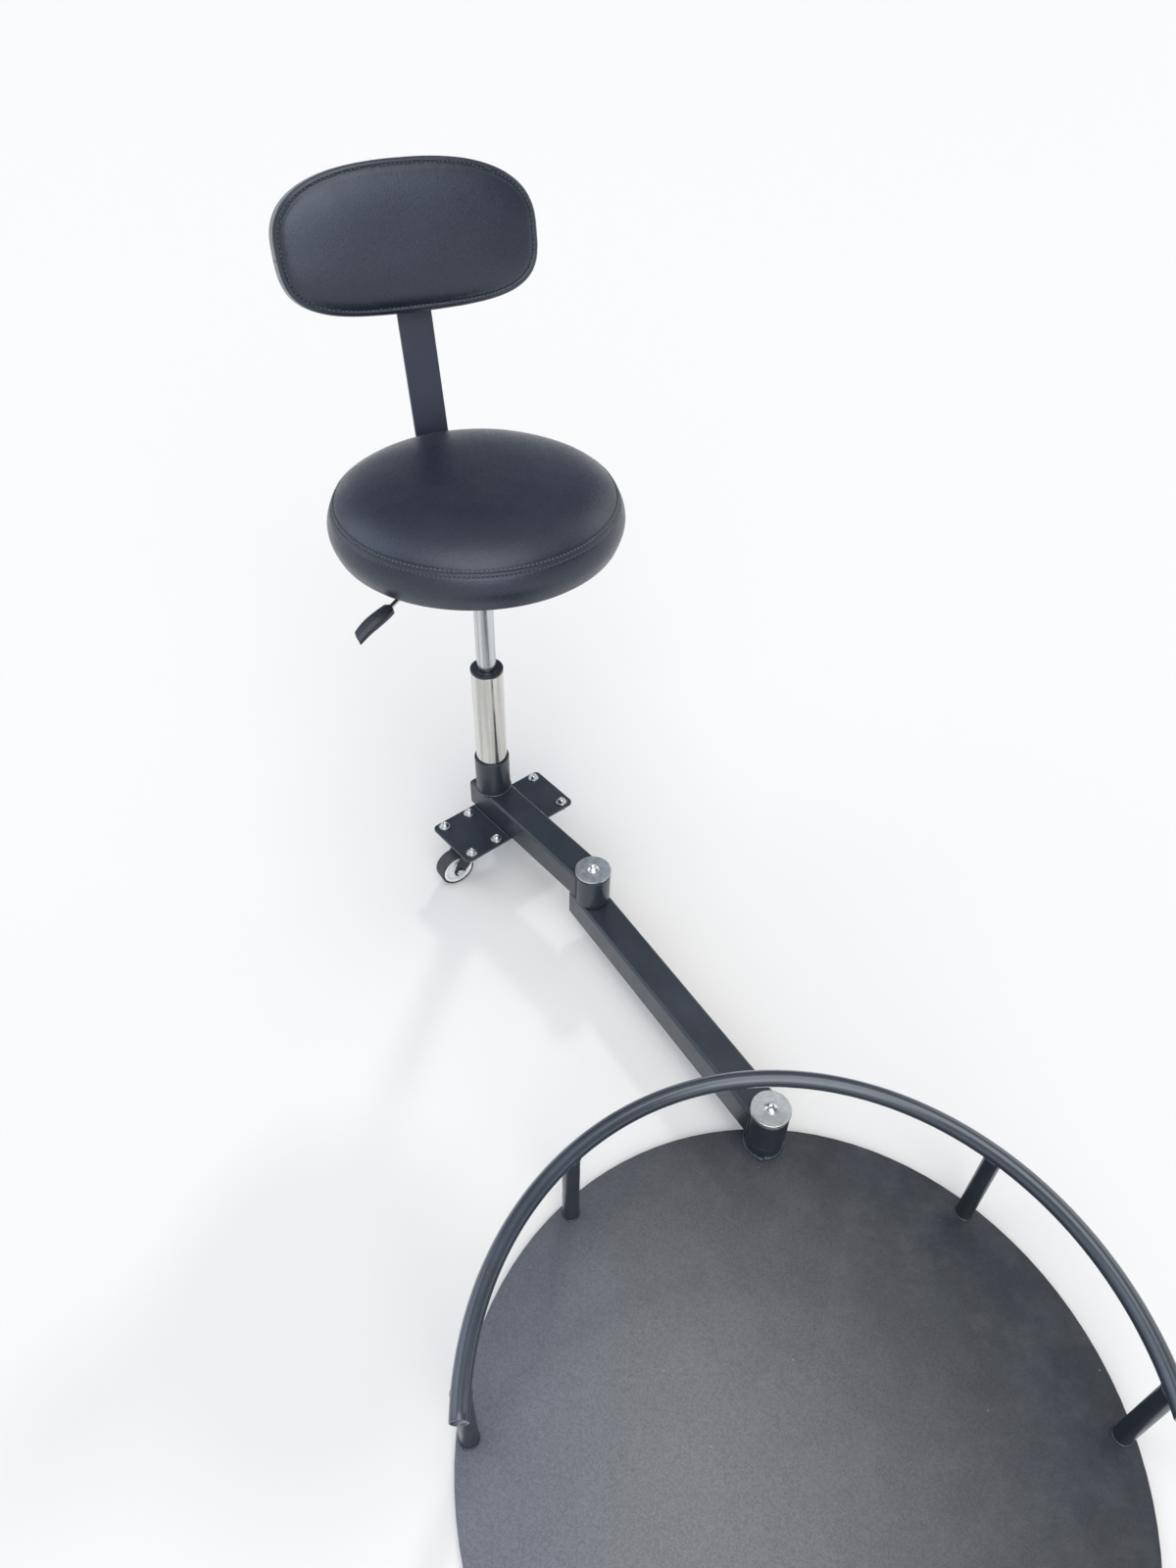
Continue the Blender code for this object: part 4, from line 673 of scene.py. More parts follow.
def make_metal(name, colour, rough, mottle, streak, reflection_bands=0.0):
    """Bare or plated metal: uneven tone, spangle, fine streaks along one direction, dark upright stripes that
    are a painted reflection, and a painted highlight along its edges.
    """
    sheet, shader = new_finish(name, colour, Metallic=1.0)
    cells = sheet.add("ShaderNodeTexVoronoi", {"feature": "SMOOTH_F1"}, Vector=sheet.place(), Scale=240.0)
    flake = sheet.add("ShaderNodeSeparateColor", Color=cells.outputs["Color"]).outputs[0]
    mixed = sheet.math("MULTIPLY", sheet.math("ADD", flake, sheet.cloudy(0.012)), 0.5)
    base = sheet.tint(mixed, shade(colour, 1.0 - mottle), shade(colour, 1.0 + mottle))
    lines = sheet.noise(1.0, detail=3.0, roughness=0.6, place=sheet.place(streak))
    base = sheet.tint(sheet.ramp(lines, 0.45, 0.75, 0.0, 0.35), base, shade(colour, 0.72))
    # Painted reflection: dark upright stripes for the dark surroundings mirrored in the chrome and the gas
    # cylinder.
    if reflection_bands:
        upright = sheet.noise(1.0, detail=3.0, place=sheet.place((150.0, 150.0, 2.5)))
        base = sheet.tint(sheet.ramp(upright, 0.38, 0.66, 0.0, reflection_bands), base, shade(colour, 0.35))
    # Painted highlight: a lighter rim along the metal's edges.
    patchy = sheet.use("Patchy Edge", Width=0.0016, Amount=0.9)["Mask"]
    base = sheet.tint(patchy, base, shade(colour, 1.45))
    sheet.feed(shader.inputs["Base Color"], base)
    dull = sheet.math("MULTIPLY", lines, 0.08)
    sheet.feed(shader.inputs["Roughness"], sheet.math("ADD", sheet.cloudy(0.008, *rough), dull))
    bump(sheet, shader, lines, distance=0.00003, strength=0.4)


def make_moulding(name, colour, rough, grain):
    """Moulded plastic or rubber: fine texture, uneven gloss and dust."""
    sheet, shader = new_finish(name, colour, Specular_IOR_Level=0.5)
    base = sheet.tint(sheet.cloudy(0.03), shade(colour, 0.85), shade(colour, 1.2))
    dust = sheet.use("Settled Dust", Amount=0.10)["Mask"]
    base = sheet.tint(dust, base, (0.24, 0.26, 0.29, 1.0))
    patchy = sheet.use("Patchy Edge", Width=0.0008, Amount=0.5)["Mask"]
    base = sheet.tint(patchy, base, shade(colour, 2.2))
    sheet.feed(shader.inputs["Base Color"], base)
    sheet.feed(shader.inputs["Roughness"], sheet.cloudy(0.015, *rough))
    bump(sheet, shader, sheet.noise(1.0 / grain, detail=2.0), grain * 0.1, 0.5)


def make_board(colour):
    """Black-stained plywood with open grain."""
    sheet, shader = new_finish("stained board", colour)
    veins = sheet.noise(1.0, detail=5.0, place=sheet.place((18.0, 420.0, 420.0)))
    base = sheet.tint(sheet.ramp(veins, 0.35, 0.65), shade(colour, 0.6), shade(colour, 1.7))
    sheet.feed(shader.inputs["Base Color"], base)
    sheet.feed(shader.inputs["Roughness"], sheet.cloudy(0.02, 0.7, 0.85))
    bump(sheet, shader, veins, distance=0.0002, strength=0.6)


def make_thread(colour):
    """Twisted thread with a slight shine."""
    sheet, shader = new_finish("stitching thread", colour, Specular_IOR_Level=0.4)
    twist = sheet.noise(2600.0, detail=1.0)
    sheet.feed(shader.inputs["Base Color"], sheet.tint(twist, shade(colour, 0.6), shade(colour, 1.6)))
    sheet.feed(shader.inputs["Roughness"], sheet.ramp(twist, 0.3, 0.7, 0.35, 0.55))
    bump(sheet, shader, twist, distance=0.0001, strength=0.6)


SLOT_FINISHES = {
    "powder_coat": "satin powder coat",
    "plate_coat": "textured plate coat",
    "zinc": "spangled zinc",
    "bright_steel": "bright steel",
    "chrome": "polished chrome",
    "nylon": "bearing nylon",
    "black_plastic": "black moulding",
    "pale_plastic": "pale wheel moulding",
    "tyre": "tyre rubber",
    "leather": "charcoal leather",
    "board": "stained board",
}
NODE_FINISHES = {"base_cap": "brushed zinc", "gas_cylinder": "drawn cylinder", "back_bar": "bar coat"}
EDGE_ANGLE = math.radians(40)
RIDGE_ANGLE = math.radians(13)


def make_edge_modifier():
    """Geometry nodes that join a solid's loose triangles and shade them smooth."""
    tree = bpy.data.node_groups.new("Joined Faces", "GeometryNodeTree")
    tree.interface.new_socket("Geometry", in_out="INPUT", socket_type="NodeSocketGeometry")
    tree.interface.new_socket("Geometry", in_out="OUTPUT", socket_type="NodeSocketGeometry")
    given = tree.nodes.new("NodeGroupInput")
    plain = tree.nodes.new("GeometryNodeRemoveAttribute")
    plain.inputs["Name"].default_value = "custom_normal"
    joined = tree.nodes.new("GeometryNodeMergeByDistance")
    joined.inputs["Distance"].default_value = 0.00001
    smoothed = tree.nodes.new("GeometryNodeSetShadeSmooth")
    result = tree.nodes.new("NodeGroupOutput")
    tree.links.new(given.outputs[0], plain.inputs["Geometry"])
    tree.links.new(plain.outputs[0], joined.inputs["Geometry"])
    tree.links.new(joined.outputs[0], smoothed.inputs["Geometry"])
    tree.links.new(smoothed.outputs[0], result.inputs[0])
    return tree


def round_edges(node, tree, width, angle):
    """Rounded edges and even shading on a solid, by modifiers alone."""
    joined = node.modifiers.new("joined faces", "NODES")
    joined.node_group = tree
    edges = node.modifiers.new("rounded edges", "BEVEL")
    edges.width = width
    edges.segments = 2
    edges.limit_method = "ANGLE"
    edges.angle_limit = angle
    edges.use_clamp_overlap = True
    normals = node.modifiers.new("even normals", "WEIGHTED_NORMAL")
    normals.keep_sharp = False
    normals.mode = "FACE_AREA_WITH_ANGLE"


class STOOL_OT_finishes(bpy.types.Operator):
    """Make every finish, and give the solids theirs with rounded edges"""

    bl_idname = "stool.finishes"
    bl_label = "Finishes"

    def execute(self, context):
        soft = context.scene.stool_upholstery
        metal = context.scene.stool_metalwork
        coat = tuple(metal.coat)
        make_groups()
        make_leather(tuple(soft.leather))
        make_thread(tuple(soft.thread))
        make_coat("satin powder coat", coat, peel=0.0011, edge=0.6, dust_amount=0.06, gloss=(0.30, 0.38),
                  rounding=0.0028)
        make_coat("bar coat", (0.0150, 0.0170, 0.0330), peel=0.0011, edge=0.3, dust_amount=0.03,
                  gloss=(0.36, 0.44), rounding=0.0018, shine=0.0)
        # Painted sheen: the rail wears a lighter copy of the powder coat, for the brighter shine along its
        # tube.
        make_coat("rail coat", shade(coat, 1.7)[:3], peel=0.0011, edge=0.4, dust_amount=0.03,
                  gloss=(0.18, 0.25), shine=0.8)
        # Painted highlight: the weld beads wear a lighter copy of the powder coat, for the bright spots on
        # their lumps.
        make_coat("weld bead coat", shade(coat, 1.5)[:3], peel=0.0007, edge=0.3, dust_amount=0.05,
                  gloss=(0.20, 0.30))
        make_plate_coat(tuple(metal.plate))
        make_metal("spangled zinc", tuple(metal.zinc), rough=(0.30, 0.42), mottle=0.30,
                   streak=(60.0, 60.0, 60.0))
        make_metal("brushed zinc", (0.90, 0.94, 0.92), rough=(0.24, 0.36), mottle=0.26,
                   streak=(30.0, 420.0, 30.0))
        make_metal("bright steel", (0.66, 0.66, 0.65), rough=(0.08, 0.15), mottle=0.08,
                   streak=(90.0, 90.0, 900.0))
        make_metal("polished chrome", tuple(metal.chrome), rough=(0.07, 0.13), mottle=0.05,
                   streak=(900.0, 900.0, 9.0), reflection_bands=0.45)
        make_metal("drawn cylinder", tuple(metal.cylinder), rough=(0.14, 0.22), mottle=0.05,
                   streak=(1200.0, 1200.0, 6.0), reflection_bands=0.60)
        make_moulding("bearing nylon", (0.72, 0.70, 0.64), rough=(0.45, 0.55), grain=0.0004)
        make_moulding("black moulding", (0.014, 0.018, 0.025), rough=(0.26, 0.36), grain=0.0005)
        make_moulding("pale wheel moulding", (0.84, 0.85, 0.86), rough=(0.38, 0.48), grain=0.0005)
        make_moulding("tyre rubber", (0.036, 0.038, 0.043), rough=(0.50, 0.65), grain=0.0004)
        make_board((0.035, 0.033, 0.031))
        tree = make_edge_modifier()
        for name, node in frame["nodes"].items():
            slot = node.material_slots[0]
            slot.material = bpy.data.materials[NODE_FINISHES.get(name, SLOT_FINISHES[slot.material.name])]
            round_edges(node, tree, metal.edge, RIDGE_ANGLE if name == "lever_paddle" else EDGE_ANGLE)
        return {"FINISHED"}


# Upholstery


def blown_up(piece, held, lifts, pressure=4.0, steps=18):
    """Blow a sewn cover up from its slack shape with its seams held; each panel rises by its own amount."""
    slack = [vertex.co.copy() for vertex in piece.data.vertices]
    group = piece.vertex_groups.new(name="held")
    group.add(sorted(held), 1.0, "REPLACE")
    select_only(piece)
    padding = piece.modifiers.new("padding", "CLOTH")
    cloth = padding.settings
    cloth.quality = 7
    cloth.mass = 0.25
    cloth.tension_stiffness = 18
    cloth.compression_stiffness = 18
    cloth.shear_stiffness = 10
    cloth.bending_stiffness = 1.2
    cloth.use_pressure = True
    cloth.uniform_pressure_force = pressure
    cloth.vertex_group_mass = "held"
    cloth.effector_weights.gravity = 0
    padding.collision_settings.use_collision = False
    padding.point_cache.frame_start = 1
    padding.point_cache.frame_end = steps
    for step in range(1, steps + 1):
        bpy.context.scene.frame_set(step)
    bpy.ops.object.modifier_apply(modifier=padding.name)
    bpy.context.scene.frame_set(1)
    piece.vertex_groups.clear()
    moves = [vertex.co - before for vertex, before in zip(piece.data.vertices, slack)]
    moves = evened(piece, moves, held)
    for panel, lift in lifts:
        largest = max(max(moves[index].length for index in panel), 1e-9)
        for index in panel:
            piece.data.vertices[index].co = slack[index] + moves[index] * (lift / largest)
    piece.data.update()


def evened(piece, moves, held, rounds=14):
    """Spread the moves of a blown-up cover between neighbours, so that the leather stays taut."""
    neighbours = [[] for _ in moves]
    for edge in piece.data.edges:
        first, second = edge.vertices
        neighbours[first].append(second)
        neighbours[second].append(first)
    for _ in range(rounds):
        spread = []
        for index, move in enumerate(moves):
            around = [moves[other] for other in neighbours[index]]
            spread.append(move if index in held else (move + sum(around, Vector())) / (len(around) + 1))
        moves = spread
    return moves


def sink(piece, depth):
    """Press the leather in along its normals by a depth that is worked out for each point."""
    normals = [vertex.normal.copy() for vertex in piece.data.vertices]
    for vertex, normal in zip(piece.data.vertices, normals):
        vertex.co -= normal * depth(vertex.co)
    piece.data.update()


def dip(distance, width):
    """A soft dip, 1 in its middle."""
    return math.exp(-(distance / width) ** 2)


def spaced(line, spacing):
    """Points along a line of (across, up) points, each a spacing on from the last that fits its place."""
    points = [Vector(point) for point in line]
    chosen = [points[0]]
    gone = 0.0
    for before, after in zip(points, points[1:]):
        gone += (after - before).length
        if gone >= spacing(after):
            chosen.append(after)
            gone = 0.0
    return [tuple(point) for point in chosen]


def mark_seam_shade(piece, nearness):
    """Keep how near each point is to a seam, for painted shade in the leather there."""
    values = [nearness(vertex.co) for vertex in piece.data.vertices]
    attribute = piece.data.attributes.new("seam", "FLOAT", "POINT")
    attribute.data.foreach_set("value", values)


def stitch_pattern(pitch, radius):
    """One stitch: a short tapered length of thread, its ends sunk."""
    length = pitch * STITCH_SHARE
    levels = []
    for share, width in ((-0.5, 0.45), (-0.36, 0.92), (0.0, 1.0), (0.36, 0.92), (0.5, 0.45)):
        levels.append((radius * width, radius * width, length * share))
    stitch = stacked("stitch", circle(6), levels)
    put(stitch, Matrix.Rotation(math.pi / 2, 4, "Y"))
    for vertex in stitch.data.vertices:
        vertex.co.z -= radius * 1.1 * (2 * vertex.co.x / length) ** 4
    return stitch


def sewn(name, cover, path, pitch, radius):
    """A row of stitches on a cover along a closed line of points."""
    line = path + [path[0]]
    length = sum((after - before).length for before, after in zip(line, line[1:]))
    count = round(length / pitch)
    spots = even_points(line, count)
    places = []
    for index, spot in enumerate(spots):
        along = spots[(index + 1) % count] - spots[index - 1]
        found, place, normal, _ = cover.closest_point_on_mesh(spot)
        if not found:
            raise RuntimeError(f"{name} found no leather to sit on")
        places.append(aimed(place - normal * radius * 0.1, along, normal))
    row = copies(name, stitch_pattern(length / count, radius), places)
    smooth(row, math.radians(60))
    return row


def seat_profile(soft):
    """Slack profile of the seat cover as (radius, height), from its underside over its seam to its crown."""
    radius = soft.seat_diameter / 2
    low = soft.seat_bottom
    foot_inset, seam_inset, slack = 0.008, 0.010, 0.0020
    board = radius - BOARD_INSET
    turn = ((0.0, 0.0108), (0.0, 0.0020), (0.0006, 0.0005), (0.0022, 0.0), (0.0040, 0.0004))
    skirt = [(board + out, low + up) for out, up in turn]
    side = []
    for step in range(12, 401):
        share = step / 400
        inset = foot_inset * (1 - share) + seam_inset * share
        bulge = (inset - slack) * math.sin(math.pi * share)
        side.append((radius - inset + bulge, low + soft.seat_seam * share))
    seam = Vector(side[-1])
    start = seam + Vector((-0.0006, 0.0006))
    rise = soft.seat_top - soft.seat_puff - start.y
    crown = []
    for step in range(1, 1200):
        angle = math.pi / 2 * (step / 1200) ** 2
        reach = start.x * math.cos(angle) ** CROWN_REACH
        crown.append((reach, start.y + rise * math.sin(angle) ** CROWN_RISE))

    def spacing(point):
        past = max((point - seam).length - FINE_REACH, 0.0)
        return min(FINE_STEP + past * STEP_GROWTH, WIDEST_STEP)

    levels = skirt + spaced(side + crown, spacing)
    return levels + [(0.006, soft.seat_top - soft.seat_puff)], seam


class STOOL_OT_seat_cushion(bpy.types.Operator):
    """Model the seat cushion, blow it up, press in its seam and sew it on both sides"""

    bl_idname = "stool.seat_cushion"
    bl_label = "Seat Cushion"

    def execute(self, context):
        soft = context.scene.stool_upholstery
        profile, seam = seat_profile(soft)
        cover = stacked("cushion_cover", circle(SEAT_SIDES), [(r, r, z) for r, z in profile], pole=True)
        foot = soft.seat_bottom + SEAT_FOOT_RISE

        def away(point):
            """Distance from the seam up the leather, negative below it."""
            offset = Vector((math.hypot(point.x, point.y), point.z)) - seam
            return math.copysign(offset.length, offset.y - 0.5 * offset.x)

        points = cover.data.vertices
        held = {v.index for v in points if abs(away(v.co)) < HELD_REACH or v.co.z < foot}
        top = [v.index for v in points if away(v.co) > 0 and v.index not in held]
        side = [v.index for v in points if away(v.co) <= 0 and v.index not in held]
        blown_up(cover, held, [(top, soft.seat_puff), (side, SEAT_SIDE_PUFF)])
        modify(cover, "SUBSURF", levels=1, render_levels=1)
        row = soft.stitch_row

        def seam_depth(point):
            """Groove at the seam and under both rows of stitches, with a fold between."""
            gap = abs(away(point))
            return (SEAM_DEPTH * dip(gap, SEAM_WIDTH) + ROW_DEPTH * dip(gap - row, ROW_WIDTH) -
                    FOLD_HEIGHT * dip(gap - row / 2, ROW_WIDTH))

        def seam_shade_tone(point):
            """Painted shade, full under the stitches and less in the seam itself."""
            gap = abs(away(point))
            return max(0.6 * dip(gap, SEAM_WIDTH), dip(gap - row, ROW_WIDTH))

        sink(cover, seam_depth)
        sink(cover, lambda point: gathers(point, abs(away(point)), SEAT_GATHERS))
        mark_seam_shade(cover, seam_shade_tone)
        put(cover, seat_frame())
        smooth(cover, math.radians(80))
        wear(cover, "charcoal leather", "seat")
        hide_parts("seat_cushion")
        for name, reach, rise in (("cushion_stitches_low", 0.55 * row, -0.83 * row),
                                  ("cushion_stitches_high", -0.15 * row, 0.98 * row)):
            path = [seat_frame() @ Vector((x * (seam.x + reach), y * (seam.x + reach), seam.y + rise))
                    for x, y in circle(240)]
            stitches = sewn(name, cover, path, soft.stitch_pitch, soft.thread_radius)
            wear(stitches, "stitching thread", "seat")
        return {"FINISHED"}


def gathers(point, away, reach):
    """Small uneven gathers in the leather near a seam and a slow waviness elsewhere, as a depth."""
    near = dip(away, reach)
    fine = noise.noise(point * 95.0) + 0.5 * noise.noise(point * 210.0)
    return GATHER_DEPTH * near * fine + WAVE_DEPTH * (1 - near) * noise.noise(point * 16.0)


def pad_profile(soft):
    """Slack profile of the pad as (inset, depth) from its back to just inside its front stitches."""
    corner, edge, slack = 0.010, 0.0052, 0.0012
    band = soft.pad_thickness - 0.010
    profile = [(corner + 0.004, 0.0), (corner, 0.0002)]
    profile += [(corner * (1 - math.sin(angle)), corner * (1 - math.cos(angle)))
                for angle in (math.pi / 2 * step / 5 for step in range(1, 5))]
    profile += [(slack, corner + up) for up in (0.001, 0.007, 0.013)]
    profile += [(slack, band - down) for down in (0.0105, 0.0075)]
    profile += [(slack + edge * (1 - math.cos(angle)), band - 0.0058 + edge * math.sin(angle))
                for angle in (math.pi / 2 * step / 6 for step in range(7))]
    inside = ((0.0073, -0.0005), (0.0083, -0.0003), (0.0094, 0.0002), (0.0108, 0.0009))
    return profile + [(inset, band + up) for inset, up in inside]


class STOOL_OT_back_pad(bpy.types.Operator):
    """Model the backrest pad, blow it up, press in its stitch line and sew it"""

    bl_idname = "stool.back_pad"
    bl_label = "Back Pad"

    def execute(self, context):
        soft = context.scene.stool_upholstery
        width, height = soft.pad_width, soft.pad_height
        profile = pad_profile(soft)
        outline = even_oval(1.0, height / width, soft.pad_top, soft.pad_bottom, PAD_SIDES)
        levels = [(width - 2 * inset, (height - 2 * inset) * width / height, depth)
                  for inset, depth in profile]
        wide, high, depth = levels[-1]
        rise = soft.pad_thickness - soft.pad_puff - depth
        for step in range(1, PAD_RINGS):
            scale = 1 - (step / PAD_RINGS) ** PAD_RING_SPREAD
            dome = (1 - scale ** PAD_DOME_FLATNESS) ** PAD_DOME_SHOULDER
            levels.append((wide * scale, high * scale, depth + rise * dome))
        levels.append((PAD_POLE, PAD_POLE, soft.pad_thickness - soft.pad_puff))
        cover = stacked("pad_cover", outline, levels, pole=True)
        sewn_depth = soft.pad_thickness - PAD_SEWN_DROP

        def away(point):
            """Distance from the stitch line across the leather, negative outside it."""
            power = soft.pad_top if point.y > 0 else soft.pad_bottom
            across = abs(point.x) / (width / 2 - PAD_SEWN_INSET)
            up = abs(point.y) / (height / 2 - PAD_SEWN_INSET)
            share = max((across ** power + up ** power) ** (1 / power), 1e-6)
            inward = math.hypot(point.x, point.y) * (1 / share - 1)
            return math.copysign(math.hypot(inward, point.z - sewn_depth), inward)

        points = cover.data.vertices
        held = {v.index for v in points if abs(away(v.co)) < HELD_REACH or v.co.z < PAD_BACK_HELD}
        ahead = {v.index for v in points if away(v.co) > 0 and v.co.z > PAD_FRONT_DEPTH}
        front = ahead - held
        band = [v.index for v in points if v.index not in held and v.index not in front]
        blown_up(cover, held, [(front, soft.pad_puff), (band, PAD_BAND_PUFF)])
        modify(cover, "SUBSURF", levels=1, render_levels=1)

        def seam_depth(point):
            """Groove under the stitches with a ridge outside it, on the front alone."""
            if point.z <= PAD_FRONT_DEPTH:
                return 0.0
            ridge = PAD_RIDGE_HEIGHT * dip(away(point) + PAD_RIDGE_PLACE, ROW_WIDTH)
            return PAD_SEAM_DEPTH * dip(away(point), ROW_WIDTH) - ridge

        sink(cover, seam_depth)
        sink(cover, lambda point: gathers(point, abs(away(point)), PAD_GATHERS))
        # Painted shade under the pad's stitches.
        mark_seam_shade(cover, lambda point: dip(away(point), ROW_WIDTH) if point.z > PAD_FRONT_DEPTH else 0.0)
        put(cover, pad_frame())
        smooth(cover, math.radians(80))
        wear(cover, "charcoal leather", "seat")
        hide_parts("back_pad")
        rim = even_oval(width - 2 * PAD_SEWN_INSET, height - 2 * PAD_SEWN_INSET, soft.pad_top,
                        soft.pad_bottom, 480)
        path = [pad_frame() @ Vector((x, y, sewn_depth)) for x, y in rim]
        stitches = sewn("pad_stitches", cover, path, soft.stitch_pitch, soft.thread_radius)
        wear(stitches, "stitching thread", "seat")
        self.join_band(cover, soft)
        return {"FINISHED"}

    def join_band(self, cover, soft):
        """The seam where the ends of the pad's band meet, low on its left."""
        path = []
        for step in range(25):
            depth = 0.004 + (soft.pad_thickness - 0.0165) * step / 24
            spot = pad_frame() @ Vector((-soft.pad_width / 2 - 0.004, -0.012, depth))
            path.append(cover.closest_point_on_mesh(spot)[1])
        seam = bead("pad_band_seam", path, soft.thread_radius * 0.8, closed=False)
        smooth(seam, math.radians(70))
        wear(seam, "stitching thread", "seat")


# Metalwork


class STOOL_OT_foot_rail(bpy.types.Operator):
    """Bend the foot rail's tube and close its ends with sunk discs"""

    bl_idname = "stool.foot_rail"
    bl_label = "Foot Rail"

    def execute(self, context):
        metal = context.scene.stool_metalwork
        select_only()
        bpy.ops.mesh.primitive_circle_add(vertices=28, radius=metal.rail_tube / 2,
                                          rotation=(math.pi / 2, 0, 0),
                                          location=(metal.rail_radius, 0, metal.rail_height))
        rail = named("bent_foot_rail")
        bpy.ops.object.transform_apply(location=True, rotation=True, scale=True)
        put(rail, Matrix.Rotation(metal.rail_middle - metal.rail_reach, 4, "Z"))
        bpy.ops.object.mode_set(mode="EDIT")
        bpy.ops.mesh.select_mode(type="VERT")
        bpy.ops.mesh.select_all(action="SELECT")
        bpy.ops.mesh.spin(steps=150, angle=-2 * metal.rail_reach, center=(0, 0, 0), axis=(0, 0, 1))
        bpy.ops.mesh.select_all(action="DESELECT")
        bpy.ops.mesh.select_non_manifold()
        bpy.ops.mesh.fill_holes(sides=0)
        bpy.ops.mesh.select_mode(type="FACE")
        bpy.ops.mesh.select_all(action="SELECT")
        bpy.ops.mesh.normals_make_consistent(inside=False)
        bpy.ops.object.mode_set(mode="OBJECT")
        for polygon in rail.data.polygons:
            polygon.select = len(polygon.vertices) > 4
        bpy.ops.object.mode_set(mode="EDIT")
        bpy.ops.mesh.inset(thickness=0.0018, depth=0.0)
        bpy.ops.mesh.inset(thickness=0.0005, depth=-0.0014)
        bpy.ops.object.mode_set(mode="OBJECT")
        if rail.data.vertices[0].co.length < 0.1 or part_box("foot_rail")[1].y + 0.01 < max(
                vertex.co.y for vertex in rail.data.vertices):
            raise RuntimeError("the foot rail was bent the wrong way")
        modify(rail, "BEVEL", width=0.0005, segments=2, limit_method="ANGLE", angle_limit=math.radians(50))
        smooth(rail)
        wear(rail, "rail coat", "base")
        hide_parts("foot_rail")
        return {"FINISHED"}


def bead(name, path, radius, closed=True):
    """A weld bead along a line of points, with the ripples of its run."""
    length = sum((after - before).length for before, after in zip(path, path[1:]))
    count = max(12, round(length / BEAD_STEP))
    spots = even_points(path, count)
    rings = []
    for index, spot in enumerate(spots):
        before = spots[index - 1] if closed or index else spot
        after = spots[(index + 1) % count] if closed or index < count - 1 else spot
        along = (after - before).normalized()
        side = along.cross(Vector((0, 0, 1)))
        side = side.normalized() if side.length > 1e-6 else Vector((1, 0, 0))
        up = side.cross(along)
        ripple = math.sin(math.tau * index * BEAD_STEP / BEAD_RIPPLE)
        swell = 1 + 0.13 * ripple + 0.25 * noise.noise(spot * 180.0)
        if not closed:
            swell *= min(1.0, 0.35 + 0.2 * min(index, count - 1 - index))
        rings.append([spot + (side * math.cos(turn) + up * math.sin(turn)) * radius * swell
                      for turn in (math.tau * step / 8 for step in range(8))])
    points = [point for ring in rings for point in ring]
    faces = []
    for index in range(count if closed else count - 1):
        after = (index + 1) % count
        for step in range(8):
            follow = (step + 1) % 8
            faces.append((index * 8 + step, index * 8 + follow, after * 8 + follow, after * 8 + step))
    if not closed:
        faces += [tuple(range(8)), tuple((count - 1) * 8 + step for step in range(8))]
    mesh = bpy.data.meshes.new(name)
    mesh.from_pydata(points, [], faces)
    piece = bpy.data.objects.new(name, mesh)
    bpy.context.scene.collection.objects.link(piece)
    close_form(piece)
    return piece


def ring_path(centre, radius, height, count=96, start=0, stop=360):
    """Points round an upright axis between two angles in degrees; a full turn ends on its first point."""
    turns = [math.radians(start + (stop - start) * step / count) for step in range(count + 1)]
    return [Vector((centre.x + radius * math.cos(turn), centre.y + radius * math.sin(turn), height))
            for turn in turns]


def joined(name, pieces):
    """Several pieces in one."""
    select_only(pieces[0])
    for piece in pieces:
        piece.select_set(True)
    bpy.ops.object.join()
    return named(name)


def arm_frame(place, heading):
    """Frame at a pivot with X along an arm."""
    return Matrix.Translation((place.x, place.y, 0)) @ Matrix.Rotation(heading, 4, "Z")


def hub_beads(prefix, matrix, hub_radius, low, high, half, radius):
    """Beads where a square tube meets its hub: over the top, under the bottom and down both sides."""
    beads = []
    reach = math.sqrt(hub_radius ** 2 - half ** 2) if hub_radius > half else 0.0
    for side in (1, -1):
        path = [matrix @ Vector((reach + 0.0004, side * (half + 0.0003), low + (high - low) * step / 24))
                for step in range(25)]
        beads.append(bead(f"{prefix}_side", path, radius, closed=False))
    turn = math.asin(min(1.0, (half - 0.003) / hub_radius))
    for height in (low, high):
        path = [matrix @ Vector((hub_radius * math.cos(angle), hub_radius * math.sin(angle), height))
                for angle in (turn * (step / 16 - 1) for step in range(33))]
        beads.append(bead(f"{prefix}_level", path, radius, closed=False))
    return beads


